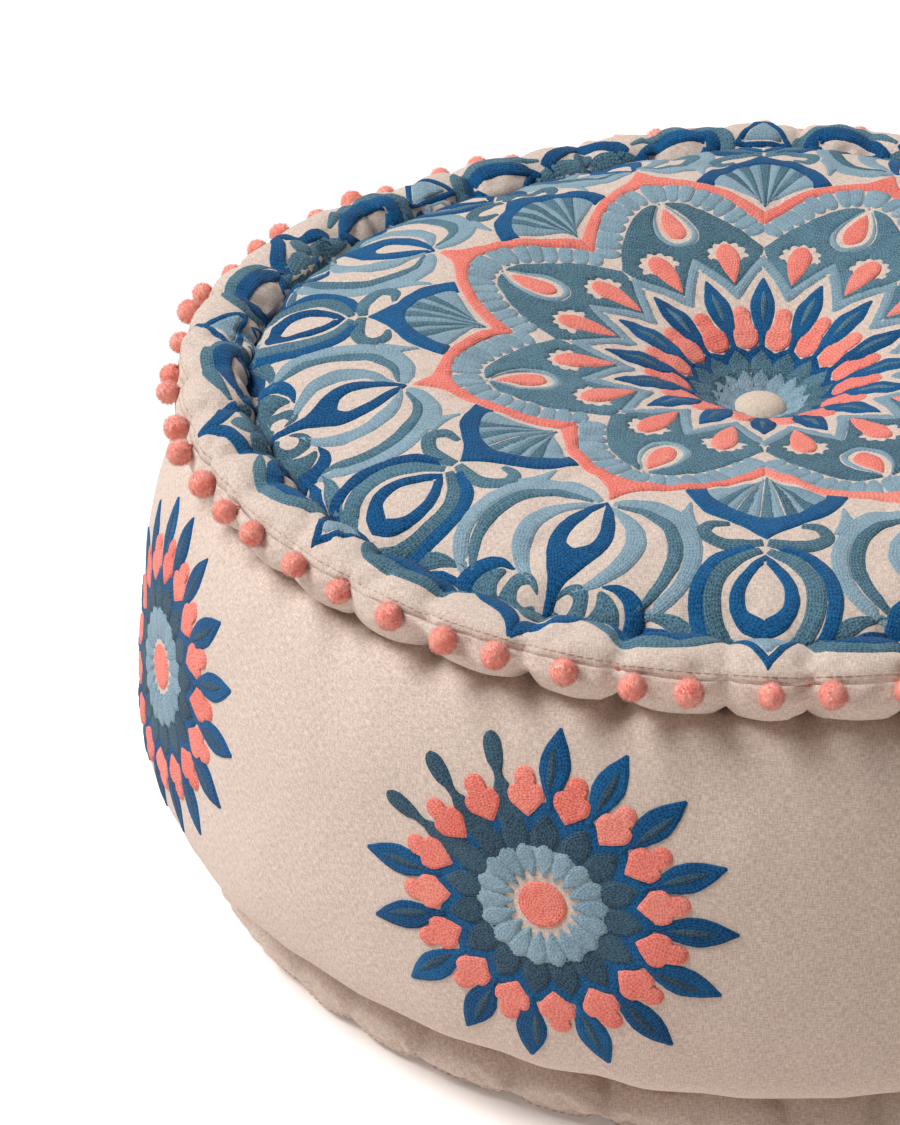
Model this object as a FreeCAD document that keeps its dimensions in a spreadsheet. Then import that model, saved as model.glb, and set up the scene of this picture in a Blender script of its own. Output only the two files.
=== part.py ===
"""Round tufted floor cushion with two rolled edges, pompom trim and chain-stitch embroidery.

The cushion stands on the plane Z = 0 with its axis on Z and the origin at the centre of its underside.
Every driving dimension is a cell of the spreadsheet "Sizes", in millimetres or as a count.
"""
import FreeCAD
import Part

import math
import os

import Sketcher
from FreeCAD import Placement, Rotation, Vector

SIZES = (
    # overall form
    ("roll_outer_radius", 300.0),
    ("top_roll_section", 18.0),
    ("top_roll_level", 258.0),
    ("bottom_roll_spread", 2.0),
    ("bottom_roll_section", 17.0),
    ("bulge_swell", 28.0),
    ("bulge_level", 120.0),
    ("dome_rise", 24.0),
    ("dome_shoulder", 92.0),
    # centre tuft, top and underside
    ("tuft_sink", 21.5),
    ("dimple_radius", 62.0),
    ("dimple_depth", 26.5),
    ("dimple_ease", 2.0),
    ("under_tuft_level", 17.0),
    ("under_dimple_radius", 55.0),
    ("under_ease", 0.8),
    # angles round the section of a roll, in degrees from outward
    ("seam_angle", 36.0),
    ("crease_angle", 170.0),
    ("lower_crease_angle", 262.0),
    ("floor_crease_angle", 215.0),
    ("crease_lap_angle", 4.0),
    ("thread_edge_angle", 1.7),
    ("stitch_inset_angle", 8.0),
    # cloth, filling and the play between them
    ("cover_thickness", 1.2),
    ("crease_lap", 1.5),
    ("soft_gap", 0.4),
    ("thread_rise", 1.0),
    ("thread_gap", 0.15),
    # button, twine and stitches
    ("button_radius", 13.5),
    ("button_rise", 6.0),
    ("button_shell", 1.0),
    ("button_back_thickness", 1.5),
    ("eye_radius", 2.6),
    ("eye_wire_radius", 0.6),
    ("twine_radius", 1.1),
    ("bore_radius", 4.0),
    ("stitch_radius", 0.5),
    ("stitch_count", 42),
    ("seam_thread_offset", 3.0),
    # pompom trim
    ("pompom_radius", 6.0),
    ("pompom_count", 64),
    ("pompom_drop", 12.0),
    ("loop_radius", 0.8),
    ("tape_thickness", 0.8),
    ("tape_width", 1.8),
    # embroidery
    ("mandala_fold", 8),
    ("mandala_turn", 22.5),
    ("mandala_field_radius", 264.3),
    ("petal_tip_radius", 185.0),
    ("petal_notch_radius", 137.0),
    ("petal_band_width", 8.0),
    ("medallion_count", 8),
    ("medallion_margin", 17.0),
    ("medallion_lift", 11.0),
    ("medallion_turn", -107.0),
)

doc = FreeCAD.newDocument("FloorCushion")
sheet = doc.addObject("Spreadsheet::Sheet", "Sizes")
for row, (alias, value) in enumerate(SIZES, start=1):
    sheet.set(f"A{row}", alias)
    sheet.set(f"B{row}", str(value))
    sheet.setAlias(f"B{row}", alias)
doc.recompute()


def size(alias):
    """Value of one cell of the sheet."""
    return float(sheet.get(alias))


def count(alias):
    """Whole number held by one cell of the sheet."""
    return int(round(size(alias)))


def tuft_level():
    """Level of the cloth under the top button."""
    return size("top_roll_level") - size("tuft_sink")


def bulge_radius():
    """Radius of the cushion at its widest."""
    return size("roll_outer_radius") + size("bulge_swell")


# ---------------------------------------------------------------- section geometry
def at(radius, level):
    """Point of the section, in the XZ plane."""
    return Vector(radius, 0, level)


def roll_centre(which):
    """Centre of the section of the top or the bottom roll."""
    section = size(f"{which}_roll_section")
    if which == "top":
        return at(size("roll_outer_radius") - section, size("top_roll_level"))
    return at(size("roll_outer_radius") + size("bottom_roll_spread") - section, section)


def on_roll(which, angle, reach):
    """Point at a distance from a roll's centre, at an angle in degrees from outward."""
    turn = math.radians(angle)
    return roll_centre(which) + Vector(reach * math.cos(turn), 0, reach * math.sin(turn))


def line(start, end):
    return Part.LineSegment(start, end).toShape()


def arc(start, middle, end):
    return Part.Arc(start, middle, end).toShape()


def revolved(edges):
    """Solid swept round the Z axis by the closed outline of these edges."""
    face = Part.Face(Part.Wire(Part.__sortEdges__(edges)))
    solid = face.revolve(Vector(0, 0, 0), Vector(0, 0, 1), 360)
    return solid if solid.Volume > 0 else solid.reversed()


def roll_skin(which, first_angle, last_angle):
    """Cloth round part of a roll, between two angles of its section."""
    outer = size(f"{which}_roll_section")
    inner = outer - size("cover_thickness")
    middle = (first_angle + last_angle) / 2
    rim = [on_roll(which, angle, outer) for angle in (first_angle, middle, last_angle)]
    lining = [on_roll(which, angle, inner) for angle in (first_angle, middle, last_angle)]
    edges = [arc(*rim), arc(*lining), line(rim[0], lining[0]), line(rim[2], lining[2])]
    return revolved(edges)


def seam_gap_angle():
    """Half the opening that a seam leaves for the tape, in degrees round the top roll."""
    half_opening = size("tape_thickness") / 2 + size("soft_gap") / 2
    return math.degrees(half_opening / size("top_roll_section"))


def dome_points():
    """Outer section of the embroidered top: tuft, dimple, crown and crease."""
    tuft = tuft_level()
    rim = at(size("button_radius"), tuft)
    dimple = at(size("dimple_radius"), tuft + size("dimple_depth"))
    ease = size("dimple_ease")
    sag = at((rim.x + dimple.x) / 2 + ease, (rim.z + dimple.z) / 2 + ease)
    crease = on_roll("top", size("crease_angle"), size("top_roll_section"))
    crown = at(crease.x - size("dome_shoulder"), size("top_roll_level") + size("dome_rise"))
    return rim, sag, dimple, crown, crease


def dome_edges(lift, inner_radius):
    """Dome section moved up or down by lift, starting at inner_radius on the flat of the tuft."""
    rise = Vector(0, 0, lift)
    rim, sag, dimple, crown, crease = (point + rise for point in dome_points())
    start = at(inner_radius, rim.z)
    return start, crease, [line(start, rim), arc(rim, sag, dimple), arc(dimple, crown, crease)]


def under_points():
    """Outer section of the underside: tuft, flat and the crease beside the bottom roll."""
    tuft = size("under_tuft_level")
    rim = at(size("button_radius"), tuft)
    dimple = at(size("under_dimple_radius"), 0)
    sag = at((rim.x + dimple.x) / 2, tuft / 2 - size("under_ease"))
    crease = on_roll("bottom", size("floor_crease_angle"), size("bottom_roll_section"))
    flat_end = at(crease.x - size("bottom_roll_section"), 0)
    return rim, sag, dimple, flat_end, crease


def under_edges(lift, inner_radius):
    """Underside section moved up by lift, starting at inner_radius on the flat of the tuft."""
    rise = Vector(0, 0, lift)
    rim, sag, dimple, flat_end, crease = (point + rise for point in under_points())
    start = at(inner_radius, rim.z)
    edges = [line(start, rim), arc(rim, sag, dimple), line(dimple, flat_end), line(flat_end, crease)]
    return start, crease, edges


def bulge_circle():
    """Circle that the side of the cushion follows between its two creases."""
    top = on_roll("top", size("lower_crease_angle"), size("top_roll_section"))
    bottom = on_roll("bottom", 360 - size("lower_crease_angle"), size("bottom_roll_section"))
    widest = at(bulge_radius(), size("bulge_level"))
    circle = Part.Circle(top, widest, bottom)
    angles = [math.atan2(point.z - circle.Center.z, point.x - circle.Center.x) for point in (top, bottom)]
    return circle.Center, circle.Radius, angles[0], angles[1]


def bulge_points(offset, trim=0.0):
    """Start, middle and end of the side's section, moved outward by offset and shortened by trim."""
    centre, radius, first, last = bulge_circle()
    first -= trim
    last += trim
    reach = radius + offset
    turns = (first, (first + last) / 2, last)
    return [centre + Vector(reach * math.cos(turn), 0, reach * math.sin(turn)) for turn in turns]


# ---------------------------------------------------------------- document helpers
made = []


def computed(name, shape):
    """Sub-part whose form no primitive has: a Part::Feature with its own computed shape."""
    feature = doc.addObject("Part::Feature", name)
    feature.Label = name
    feature.Shape = shape
    feature.Placement = Placement(Vector(0, 0, 0), Rotation())
    made.append(feature)
    return feature


def bound(kind, name, **expressions):
    """Primitive or boolean whose properties are bound to the sheet."""
    feature = doc.addObject(kind, name)
    for prop, expression in expressions.items():
        feature.setExpression(prop.replace("__", "."), expression)
    return feature


def keep(feature, name):
    """Record a document object as a finished sub-part."""
    feature.Label = name
    made.append(feature)
    return feature


# ---------------------------------------------------------------- cover
def top_panel():
    """Embroidered top, from the tuft over the crown and the crease to the seam on the roll."""
    start, crease, edges = dome_edges(0, size("bore_radius"))
    low_start, low_crease, low_edges = dome_edges(-size("cover_thickness"), size("bore_radius"))
    dome = revolved(edges + low_edges + [line(start, low_start), line(crease, low_crease)])
    edge = roll_skin("top", size("seam_angle") + seam_gap_angle(), size("crease_angle") + size("crease_lap_angle"))
    computed("top_panel", dome.fuse(edge).removeSplitter())


def side_band():
    """Side cloth, from the top seam round the roll, over the bulge and round the bottom roll."""
    lap = -size("crease_lap") / bulge_circle()[1]
    outer = bulge_points(0, lap)
    inner = bulge_points(-size("cover_thickness"), lap)
    side = revolved([arc(*outer), arc(*inner), line(outer[0], inner[0]), line(outer[2], inner[2])])
    last = 360 - size("lower_crease_angle") + size("crease_lap_angle")
    upper = roll_skin("top", -last, size("seam_angle") - seam_gap_angle())
    lower = roll_skin("bottom", seam_gap_angle() - size("seam_angle"), last)
    computed("side_band", upper.fuse([side, lower]).removeSplitter())


def bottom_panel():
    """Plain underside, tufted at the centre and lapped round the lower half of the bottom roll."""
    start, crease, edges = under_edges(0, size("bore_radius"))
    high_start, high_crease, high_edges = under_edges(size("cover_thickness"), size("bore_radius"))
    floor = revolved(edges + high_edges + [line(start, high_start), line(crease, high_crease)])
    last = 360 - size("seam_angle") - seam_gap_angle()
    edge = roll_skin("bottom", size("floor_crease_angle") - size("crease_lap_angle"), last)
    computed("bottom_panel", floor.fuse(edge).removeSplitter())


# ---------------------------------------------------------------- filling
def fill_core():
    """Main filling, inside the cover, bored for the tufting twine."""
    inset = size("cover_thickness") + size("soft_gap")
    start, crease, top = dome_edges(-inset, size("bore_radius"))
    low_start, low_crease, bottom = under_edges(inset, size("bore_radius"))
    side = bulge_points(-inset)
    edges = top + bottom + [arc(*side)]
    edges += [line(crease, side[0]), line(side[2], low_crease), line(start, low_start)]
    body = revolved(edges)
    for which in ("top", "bottom"):
        centre = roll_centre(which)
        reach = size(f"{which}_roll_section") + size("cover_thickness") + size("soft_gap")
        body = body.cut(Part.makeTorus(centre.x, reach, Vector(0, 0, centre.z)))
    computed("fill_core", max(body.Solids, key=lambda solid: solid.Volume))


def roll_fill(which, outer):
    """Packed filling of a rolled edge."""
    section = f"Sizes.{which}_roll_section"
    level = "Sizes.top_roll_level" if which == "top" else section
    name = f"{which}_roll_fill"
    ring = bound(
        "Part::Torus", name,
        Radius1=f"{outer} - {section}",
        Radius2=f"{section} - Sizes.cover_thickness - Sizes.soft_gap",
        Placement__Base__z=level,
    )
    keep(ring, name)


# ---------------------------------------------------------------- stitches and seams
def around(shape, copies, first_turn=0.0):
    """Compound of copies of a shape, evenly spaced round the axis."""
    ring = []
    for index in range(copies):
        piece = shape.copy()
        piece.rotate(Vector(0, 0, 0), Vector(0, 0, 1), first_turn + 360.0 * index / copies)
        ring.append(piece)
    return ring


def roll_stitches(which):
    """Twine stitches that pinch a roll off from the body, one at each pucker."""
    centre = roll_centre(which)
    reach = size(f"{which}_roll_section") - size("stitch_radius") - size("soft_gap") / 2
    if which == "top":
        first, last = size("crease_angle"), size("lower_crease_angle")
    else:
        first, last = 360 - size("lower_crease_angle"), size("floor_crease_angle")
    first += size("stitch_inset_angle")
    last -= size("stitch_inset_angle")
    path = Part.Wire(arc(*(on_roll(which, angle, reach) for angle in (first, (first + last) / 2, last))))
    start = on_roll(which, first, reach)
    spoke = start - centre
    tangent = Vector(-spoke.z, 0, spoke.x)
    profile = Part.Wire(Part.Circle(start, tangent, size("stitch_radius")).toShape())
    stitch = path.makePipeShell([profile], True, False)
    stitches = around(stitch, count("stitch_count"))
    computed(f"{which}_roll_stitches", Part.makeCompound(stitches))


def seam_thread(which):
    """Line of machine stitching just outside a seam."""
    turn = size("seam_angle") if which == "top" else -size("seam_angle")
    lean = math.degrees(size("seam_thread_offset") / size(f"{which}_roll_section"))
    reach = size(f"{which}_roll_section") + size("stitch_radius") + size("thread_gap")
    place = on_roll(which, turn + math.copysign(lean, turn), reach)
    ring = Part.makeTorus(place.x, size("stitch_radius"), Vector(0, 0, place.z))
    computed(f"{which}_seam_thread", ring)


# ---------------------------------------------------------------- pompom trim
def pompom_tape():
    """Woven header tape held in the top seam: a thin rectangle turned round the axis."""
    body = doc.addObject("PartDesign::Body", "pompom_tape")
    plane = next(item for item in body.Origin.OriginFeatures if item.Role == "XZ_Plane")
    sketch = body.newObject("Sketcher::SketchObject", "tape_section")
    sketch.AttachmentSupport = [(plane, "")]
    sketch.MapMode = "FlatFace"
    lean = math.radians(size("seam_angle"))
    along = Vector(math.cos(lean), math.sin(lean), 0)
    across = Vector(-along.y, along.x, 0)
    middle = on_roll("top", size("seam_angle"), size("top_roll_section"))
    origin = Vector(middle.x, middle.z, 0)
    reach = size("tape_width") / 2
    half = size("tape_thickness") / 2
    corners = [origin + along * a * reach + across * b * half for a, b in ((-1, -1), (1, -1), (1, 1), (-1, 1))]
    for index in range(4):
        sketch.addGeometry(Part.LineSegment(corners[index], corners[(index + 1) % 4]), False)
    for index in range(4):
        sketch.addConstraint(Sketcher.Constraint("Coincident", index, 2, (index + 1) % 4, 1))
    for index in range(3):
        sketch.addConstraint(Sketcher.Constraint("Perpendicular", index, (index + 1) % 4))
    sizes = (
        ("Distance", (0,), 2 * reach, "Sizes.tape_width"),
        ("Distance", (1,), 2 * half, "Sizes.tape_thickness"),
        ("Angle", (-1, 1, 0, 1), lean, "Sizes.seam_angle * 1 deg"),
    )
    for kind, refs, value, expression in sizes:
        index = sketch.addConstraint(Sketcher.Constraint(kind, *refs, value))
        sketch.setExpression(f"Constraints[{index}]", expression)
    corner = (
        ("DistanceX", corners[0].x,
         "Sizes.roll_outer_radius - Sizes.top_roll_section"
         " + (Sizes.top_roll_section - Sizes.tape_width / 2) * cos(Sizes.seam_angle * 1 deg)"
         " + Sizes.tape_thickness / 2 * sin(Sizes.seam_angle * 1 deg)"),
        ("DistanceY", corners[0].y,
         "Sizes.top_roll_level"
         " + (Sizes.top_roll_section - Sizes.tape_width / 2) * sin(Sizes.seam_angle * 1 deg)"
         " - Sizes.tape_thickness / 2 * cos(Sizes.seam_angle * 1 deg)"),
    )
    for kind, value, expression in corner:
        index = sketch.addConstraint(Sketcher.Constraint(kind, -1, 1, 0, 1, value))
        sketch.setExpression(f"Constraints[{index}]", expression)
    spun = body.newObject("PartDesign::Revolution", "tape_ring")
    spun.Profile = sketch
    spun.ReferenceAxis = (sketch, ["V_Axis"])
    spun.Angle = 360
    body.Tip = spun
    keep(body, "pompom_tape")


def pompom_place():
    """Middle of one pompom and the point of the tape that its loop leaves."""
    exit_point = on_roll("top", size("seam_angle"), size("top_roll_section") + size("tape_width") / 2)
    level = exit_point.z - size("pompom_drop")
    rise = level - size("top_roll_level")
    reach = size("top_roll_section") + size("pompom_radius") + size("soft_gap")
    side = math.sqrt(max(reach ** 2 - rise ** 2, 0))
    return at(roll_centre("top").x + side, level), exit_point


def pompoms():
    """Wool pompoms round the top seam."""
    middle, _ = pompom_place()
    ball = Part.makeSphere(size("pompom_radius"), middle)
    computed("pompoms", Part.makeCompound(around(ball, count("pompom_count"))))


def pompom_loops():
    """Twisted thread loops from the tape to the pompoms."""
    middle, exit_point = pompom_place()
    run = middle - exit_point
    reach = run.Length - size("pompom_radius") - size("thread_gap")
    loop = Part.makeCylinder(size("loop_radius"), reach, exit_point, run)
    computed("pompom_loops", Part.makeCompound(around(loop, count("pompom_count"))))


# ---------------------------------------------------------------- tuft
def button_sphere():
    """Radius of the ball whose cap is the button, from its radius and its rise."""
    return (size("button_radius") ** 2 + size("button_rise") ** 2) / (2 * size("button_rise"))


def button_level(which):
    """Level of the button's rim, just clear of the cloth."""
    if which == "top":
        return tuft_level() + size("soft_gap")
    return size("under_tuft_level") - size("soft_gap")


def facing(which):
    return 1 if which == "top" else -1


def button_cap(which):
    """Cloth-covered dome of a tufting button, hollow behind."""
    radius = button_sphere()
    side = facing(which)
    level = button_level(which)
    centre = Vector(0, 0, level + side * (size("button_rise") - radius))
    box = 4 * size("button_radius")
    keeper = Part.makeBox(box, box, box, Vector(-box / 2, -box / 2, level if side > 0 else level - box))
    cap = Part.makeSphere(radius, centre).common(keeper)
    hollow = Part.makeSphere(radius - size("button_shell"), centre).common(keeper)
    computed(f"{which}_button_cap", cap.cut(hollow))


def button_back(which):
    """Pressed plate that closes the back of a button."""
    inner = f"({button_sphere()} - Sizes.button_shell)"
    depth = f"({button_sphere()} - Sizes.button_rise)"
    name = f"{which}_button_back"
    base = "Sizes.top_roll_level - Sizes.tuft_sink + Sizes.soft_gap"
    if which == "bottom":
        base = "Sizes.under_tuft_level - Sizes.soft_gap - Sizes.button_back_thickness"
    plate = bound(
        "Part::Cylinder", name,
        Radius=f"sqrt({inner}^2 - ({depth} + Sizes.button_back_thickness)^2) - Sizes.thread_gap",
        Height="Sizes.button_back_thickness",
        Placement__Base__z=base,
    )
    keep(plate, name)


def button_eye(which):
    """Wire eye on the back of a button, upright in the bore of the filling."""
    name = f"{which}_button_eye"
    drop = "Sizes.eye_radius + Sizes.eye_wire_radius + Sizes.thread_gap"
    level = f"Sizes.top_roll_level - Sizes.tuft_sink + Sizes.soft_gap - ({drop})"
    if which == "bottom":
        level = f"Sizes.under_tuft_level - Sizes.soft_gap + ({drop})"
    ring = bound(
        "Part::Torus", name,
        Radius1="Sizes.eye_radius",
        Radius2="Sizes.eye_wire_radius",
        Placement__Base__z=level,
    )
    ring.Placement = Placement(ring.Placement.Base, Rotation(Vector(1, 0, 0), 90))
    keep(ring, name)


def tufting_twine():
    """Waxed twine that pulls the two buttons together through the filling."""
    low = "(Sizes.under_tuft_level - Sizes.soft_gap + 2 * Sizes.eye_radius + 2 * Sizes.eye_wire_radius)"
    tuft = "Sizes.top_roll_level - Sizes.tuft_sink"
    high = f"({tuft} + Sizes.soft_gap - 2 * Sizes.eye_radius - 2 * Sizes.eye_wire_radius)"
    twine = bound(
        "Part::Cylinder", "tufting_twine",
        Radius="Sizes.twine_radius",
        Height=f"{high} - {low} - 4 * Sizes.thread_gap",
        Placement__Base__z=f"{low} + 2 * Sizes.thread_gap",
    )
    keep(twine, "tufting_twine")


# ---------------------------------------------------------------- embroidery outlines
# Outlines lie flat: x runs round the cushion, y runs outward from the motif's centre.
def leaf(inner, outer, half_width, swell=0.5):
    """Pointed leaf between two radii, widest at the share swell of its length."""
    foot = Vector(0, inner, 0)
    tip = Vector(0, outer, 0)
    belly = inner + (outer - inner) * swell
    left = arc(foot, Vector(-half_width, belly, 0), tip)
    right = arc(tip, Vector(half_width, belly, 0), foot)
    return Part.Face(Part.Wire([left, right]))


def disc(middle, radius):
    return Part.Face(Part.Wire(Part.Circle(Vector(0, middle, 0), Vector(0, 0, 1), radius).toShape()))


def ring(middle, outer, inner):
    return disc(middle, outer).cut(disc(middle, inner))


def teardrop(tip, middle, radius):
    """Round drop at middle drawn out to a point at tip."""
    reach = abs(tip - middle)
    side = math.copysign(1, tip - middle)
    along = radius * radius / reach
    across = radius * math.sqrt(1 - (radius / reach) ** 2)
    point = Vector(0, tip, 0)
    left = Vector(-across, middle + side * along, 0)
    right = Vector(across, middle + side * along, 0)
    far = Vector(0, middle - side * radius, 0)
    return Part.Face(Part.Wire([line(point, left), arc(left, far, right), line(right, point)]))


def band(start, middle, end, inner_start, inner_middle, inner_end):
    """Curved band between two arcs."""
    edges = [
        arc(start, middle, end),
        line(end, inner_end),
        arc(inner_end, inner_middle, inner_start),
        line(inner_start, start),
    ]
    return Part.Face(Part.Wire(edges))


def polar(radius, angle):
    """Point at an angle in degrees, clockwise from the outward direction."""
    turn = math.radians(angle)
    return Vector(radius * math.sin(turn), radius * math.cos(turn), 0)


def turned(face, angle):
    """Copy of a flat outline turned clockwise about the motif's centre."""
    piece = face.copy()
    piece.rotate(Vector(0, 0, 0), Vector(0, 0, 1), -angle)
    return piece


def wreath(face, copies, offset=0.0):
    return [turned(face, offset + 360.0 * index / copies) for index in range(copies)]


def petal_outline(tip_radius, notch_radius, rounded):
    """Closed outline of the petals, pointed or rounded at their tips."""
    folds = count("mandala_fold")
    half = 180.0 / folds
    edges = []
    for index in range(folds):
        turn = index * 2 * half
        notch = polar(notch_radius, turn - half)
        tip = polar(tip_radius, turn)
        next_notch = polar(notch_radius, turn + half)
        shoulder = (tip_radius + notch_radius) / 2
        swell = half * (0.48 if rounded else 0.52)
        lift = 6.0 if rounded else 2.0
        edges.append(arc(notch, polar(shoulder + lift, turn - swell), tip))
        edges.append(arc(tip, polar(shoulder + lift, turn + swell), next_notch))
    return Part.Face(Part.Wire(edges))


def mandala_faces():
    """Flat outlines of the mandala on the top, by thread."""
    folds = count("mandala_fold")
    half = 180.0 / folds
    tip = size("petal_tip_radius")
    notch = size("petal_notch_radius")
    width = size("petal_band_width")
    many = 2 * folds
    coral_inner = petal_outline(tip - 2.4 * width, notch - 1.3 * width, True)
    coral_band = petal_outline(tip, notch, False).cut(coral_inner)
    rope = petal_outline(tip - 2.5 * width, notch - 1.4 * width, True)
    lobes = petal_outline(tip - 4.4 * width, notch - 3.5 * width, True)
    drop_level = 124.0
    seed_level = 100.0
    knob_level = 44.0
    flame_hole_level = 208.0
    eye_level = 236.0
    cup = band(
        Vector(-34, 165, 0), Vector(0, 198, 0), Vector(34, 165, 0),
        Vector(-27, 163, 0), Vector(0, 183, 0), Vector(27, 163, 0),
    )
    crescent = band(
        Vector(-12, 183, 0), Vector(-54, 207, 0), Vector(-44, 246, 0),
        Vector(-12, 187, 0), Vector(-45, 210, 0), Vector(-42, 245, 0),
    )
    coral = [coral_band]
    coral += wreath(teardrop(146, drop_level, 6.5), folds)
    coral += wreath(teardrop(75, seed_level, 7.0), many, half / 2)
    coral += wreath(disc(knob_level, 6.5), many, half / 2)
    navy = wreath(leaf(45, 80, 6.5), many)
    navy += wreath(cup, folds, half)
    navy += wreath(leaf(190, 245, 15.0).cut(disc(flame_hole_level, 7.0)), folds)
    navy += wreath(ring(eye_level, 16.0, 8.5), folds, half)
    slate = wreath(ring(eye_level, 24.0, 17.0), folds, half)
    slate.append(ring(0, 31.0, 22.0))
    gaps = [disc(0, seed_level - 2)]
    gaps += wreath(teardrop(149, drop_level, 9.0), folds)
    gaps += wreath(disc(seed_level, 10.0), many, half / 2)
    slate.append(lobes.cut(Part.makeCompound(gaps)))
    pale = [ring(0, 21.5, 15.5), rope.cut(lobes)]
    pale += wreath(crescent, folds)
    pale += wreath(crescent.mirror(Vector(0, 0, 0), Vector(1, 0, 0)), folds)
    return {"coral": coral, "navy": navy, "slate": slate, "pale": pale}


def medallion_faces():
    """Flat outlines of one side medallion, by thread."""
    upper, _, lower = bulge_points(0)
    reach = (upper.z - lower.z) / 2 - size("medallion_margin")
    petals = 16
    spoke = 360.0 / petals
    coral = [disc(0, 0.13 * reach)]
    coral += wreath(teardrop(0.80 * reach, 0.60 * reach, 0.085 * reach), petals, spoke / 2)
    navy = wreath(leaf(0.60 * reach, reach, 0.075 * reach), petals)
    slate = [ring(0, 0.50 * reach, 0.34 * reach)]
    pale = [ring(0, 0.33 * reach, 0.17 * reach)]
    return {"coral": coral, "navy": navy, "slate": slate, "pale": pale}


# ---------------------------------------------------------------- embroidery solids
def top_thread_layer():
    """Thin layer that the embroidery of the top fills, following the dome."""
    low = size("thread_gap")
    high = low + size("thread_rise")
    inner = size("button_radius")
    start, crease, edges = dome_edges(low, inner - 1)
    high_start, high_crease, high_edges = dome_edges(high, inner - 1)
    layer = revolved(edges + high_edges + [line(start, high_start), line(crease, high_crease)])
    centre = roll_centre("top")
    reach = size("top_roll_section") + size("thread_rise")
    return layer.cut(Part.makeTorus(centre.x, reach, Vector(0, 0, centre.z)))


def side_thread_layer():
    """Thin layer that the embroidery of the side fills, following the bulge."""
    low = size("thread_gap")
    edge = math.radians(size("thread_edge_angle"))
    outer = bulge_points(low + size("thread_rise"), edge)
    inner = bulge_points(low, edge)
    return revolved([arc(*outer), arc(*inner), line(outer[0], inner[0]), line(outer[2], inner[2])])


def mandala_thread(layer, thread, faces):
    """Embroidery of one thread on the top."""
    height = size("top_roll_level") + size("dome_rise") + 10
    scale = dome_points()[-1].x / size("mandala_field_radius")
    solids = []
    for face in faces:
        outline = turned(face, size("mandala_turn"))
        outline.scale(scale)
        prism = outline.extrude(Vector(0, 0, height))
        solids += layer.common(prism).Solids
    computed(f"mandala_{thread}_thread", Part.makeCompound(solids))


def medallion_thread(layer, thread, faces):
    """Embroidery of one thread on the side, the same on every medallion."""
    reach = bulge_radius() + 20
    upper, _, lower = bulge_points(0)
    level = (upper.z + lower.z) / 2 + size("medallion_lift")
    facing_out = Rotation(Vector(0, 1, 0), Vector(0, 0, 1), Vector(1, 0, 0), "ZXY")
    upright = Placement(Vector(0, 0, level), facing_out)
    solids = []
    for face in faces:
        standing = face.copy()
        standing.Placement = upright.multiply(standing.Placement)
        solids += layer.common(standing.extrude(Vector(reach, 0, 0))).Solids
    copies = around(Part.makeCompound(solids), count("medallion_count"), size("medallion_turn"))
    computed(f"medallion_{thread}_thread", Part.makeCompound([s for copy in copies for s in copy.Solids]))


def embroidery():
    """All the chain-stitched motifs, one sub-part for each thread on the top and on the side."""
    top_layer = top_thread_layer()
    for thread, faces in mandala_faces().items():
        mandala_thread(top_layer, thread, faces)
    side_layer = side_thread_layer()
    for thread, faces in medallion_faces().items():
        medallion_thread(side_layer, thread, faces)


# ---------------------------------------------------------------- checks and export
def check_document():
    """Stop the build if any object failed or any sub-part has no sound shape."""
    doc.recompute()
    for item in doc.Objects:
        if "Invalid" in item.State or "Error" in item.State:
            raise RuntimeError(f"{item.Label} failed: {item.State}")
    for feature in made:
        if feature.Shape.isNull() or not feature.Shape.isValid():
            raise RuntimeError(f"{feature.Label} has no sound shape")
        if not feature.Shape.Solids:
            raise RuntimeError(f"{feature.Label} holds no solid")


def export():
    """Write each sub-part to its own STEP file."""
    os.makedirs("parts", exist_ok=True)
    for feature in made:
        feature.Shape.exportStep(os.path.join("parts", f"{feature.Label}.step"))
        volume = sum(solid.Volume for solid in feature.Shape.Solids) / 1000
        print(f"{feature.Label}: {len(feature.Shape.Solids)} solid(s), {volume:.2f} cm3")


def main():
    top_panel()
    side_band()
    bottom_panel()
    fill_core()
    roll_fill("top", "Sizes.roll_outer_radius")
    roll_fill("bottom", "(Sizes.roll_outer_radius + Sizes.bottom_roll_spread)")
    for which in ("top", "bottom"):
        roll_stitches(which)
        seam_thread(which)
        button_cap(which)
        button_back(which)
        button_eye(which)
    tufting_twine()
    pompom_tape()
    pompom_loops()
    pompoms()
    embroidery()
    check_document()
    export()


main()
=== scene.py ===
"""Round floor cushion: a linen drum with rolled edges, crewel embroidery and a pompom trim."""

import logging
import math
from dataclasses import dataclass, field
from enum import Enum
from typing import Callable, Iterable, Optional

import bpy
import numpy as np
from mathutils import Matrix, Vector, geometry


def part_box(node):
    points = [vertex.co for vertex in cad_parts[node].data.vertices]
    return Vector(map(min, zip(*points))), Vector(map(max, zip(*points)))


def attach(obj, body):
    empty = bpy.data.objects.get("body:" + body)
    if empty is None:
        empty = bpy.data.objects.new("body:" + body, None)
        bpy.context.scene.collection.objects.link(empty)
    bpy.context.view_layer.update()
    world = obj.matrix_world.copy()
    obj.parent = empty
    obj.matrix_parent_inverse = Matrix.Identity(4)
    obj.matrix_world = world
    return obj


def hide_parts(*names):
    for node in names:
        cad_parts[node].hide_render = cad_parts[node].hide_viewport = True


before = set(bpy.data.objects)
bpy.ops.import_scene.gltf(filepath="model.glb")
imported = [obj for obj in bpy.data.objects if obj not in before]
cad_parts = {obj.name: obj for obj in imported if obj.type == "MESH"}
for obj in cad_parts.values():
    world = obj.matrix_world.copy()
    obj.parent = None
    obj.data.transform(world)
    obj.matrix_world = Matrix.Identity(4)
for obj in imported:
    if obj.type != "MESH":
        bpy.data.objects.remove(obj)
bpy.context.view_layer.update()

MM = 0.001
BODY = "root"
Array = np.ndarray
Point = tuple[float, float]
Dye = tuple[int, int, int]
Socket = bpy.types.NodeSocket
Node = bpy.types.Node
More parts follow.
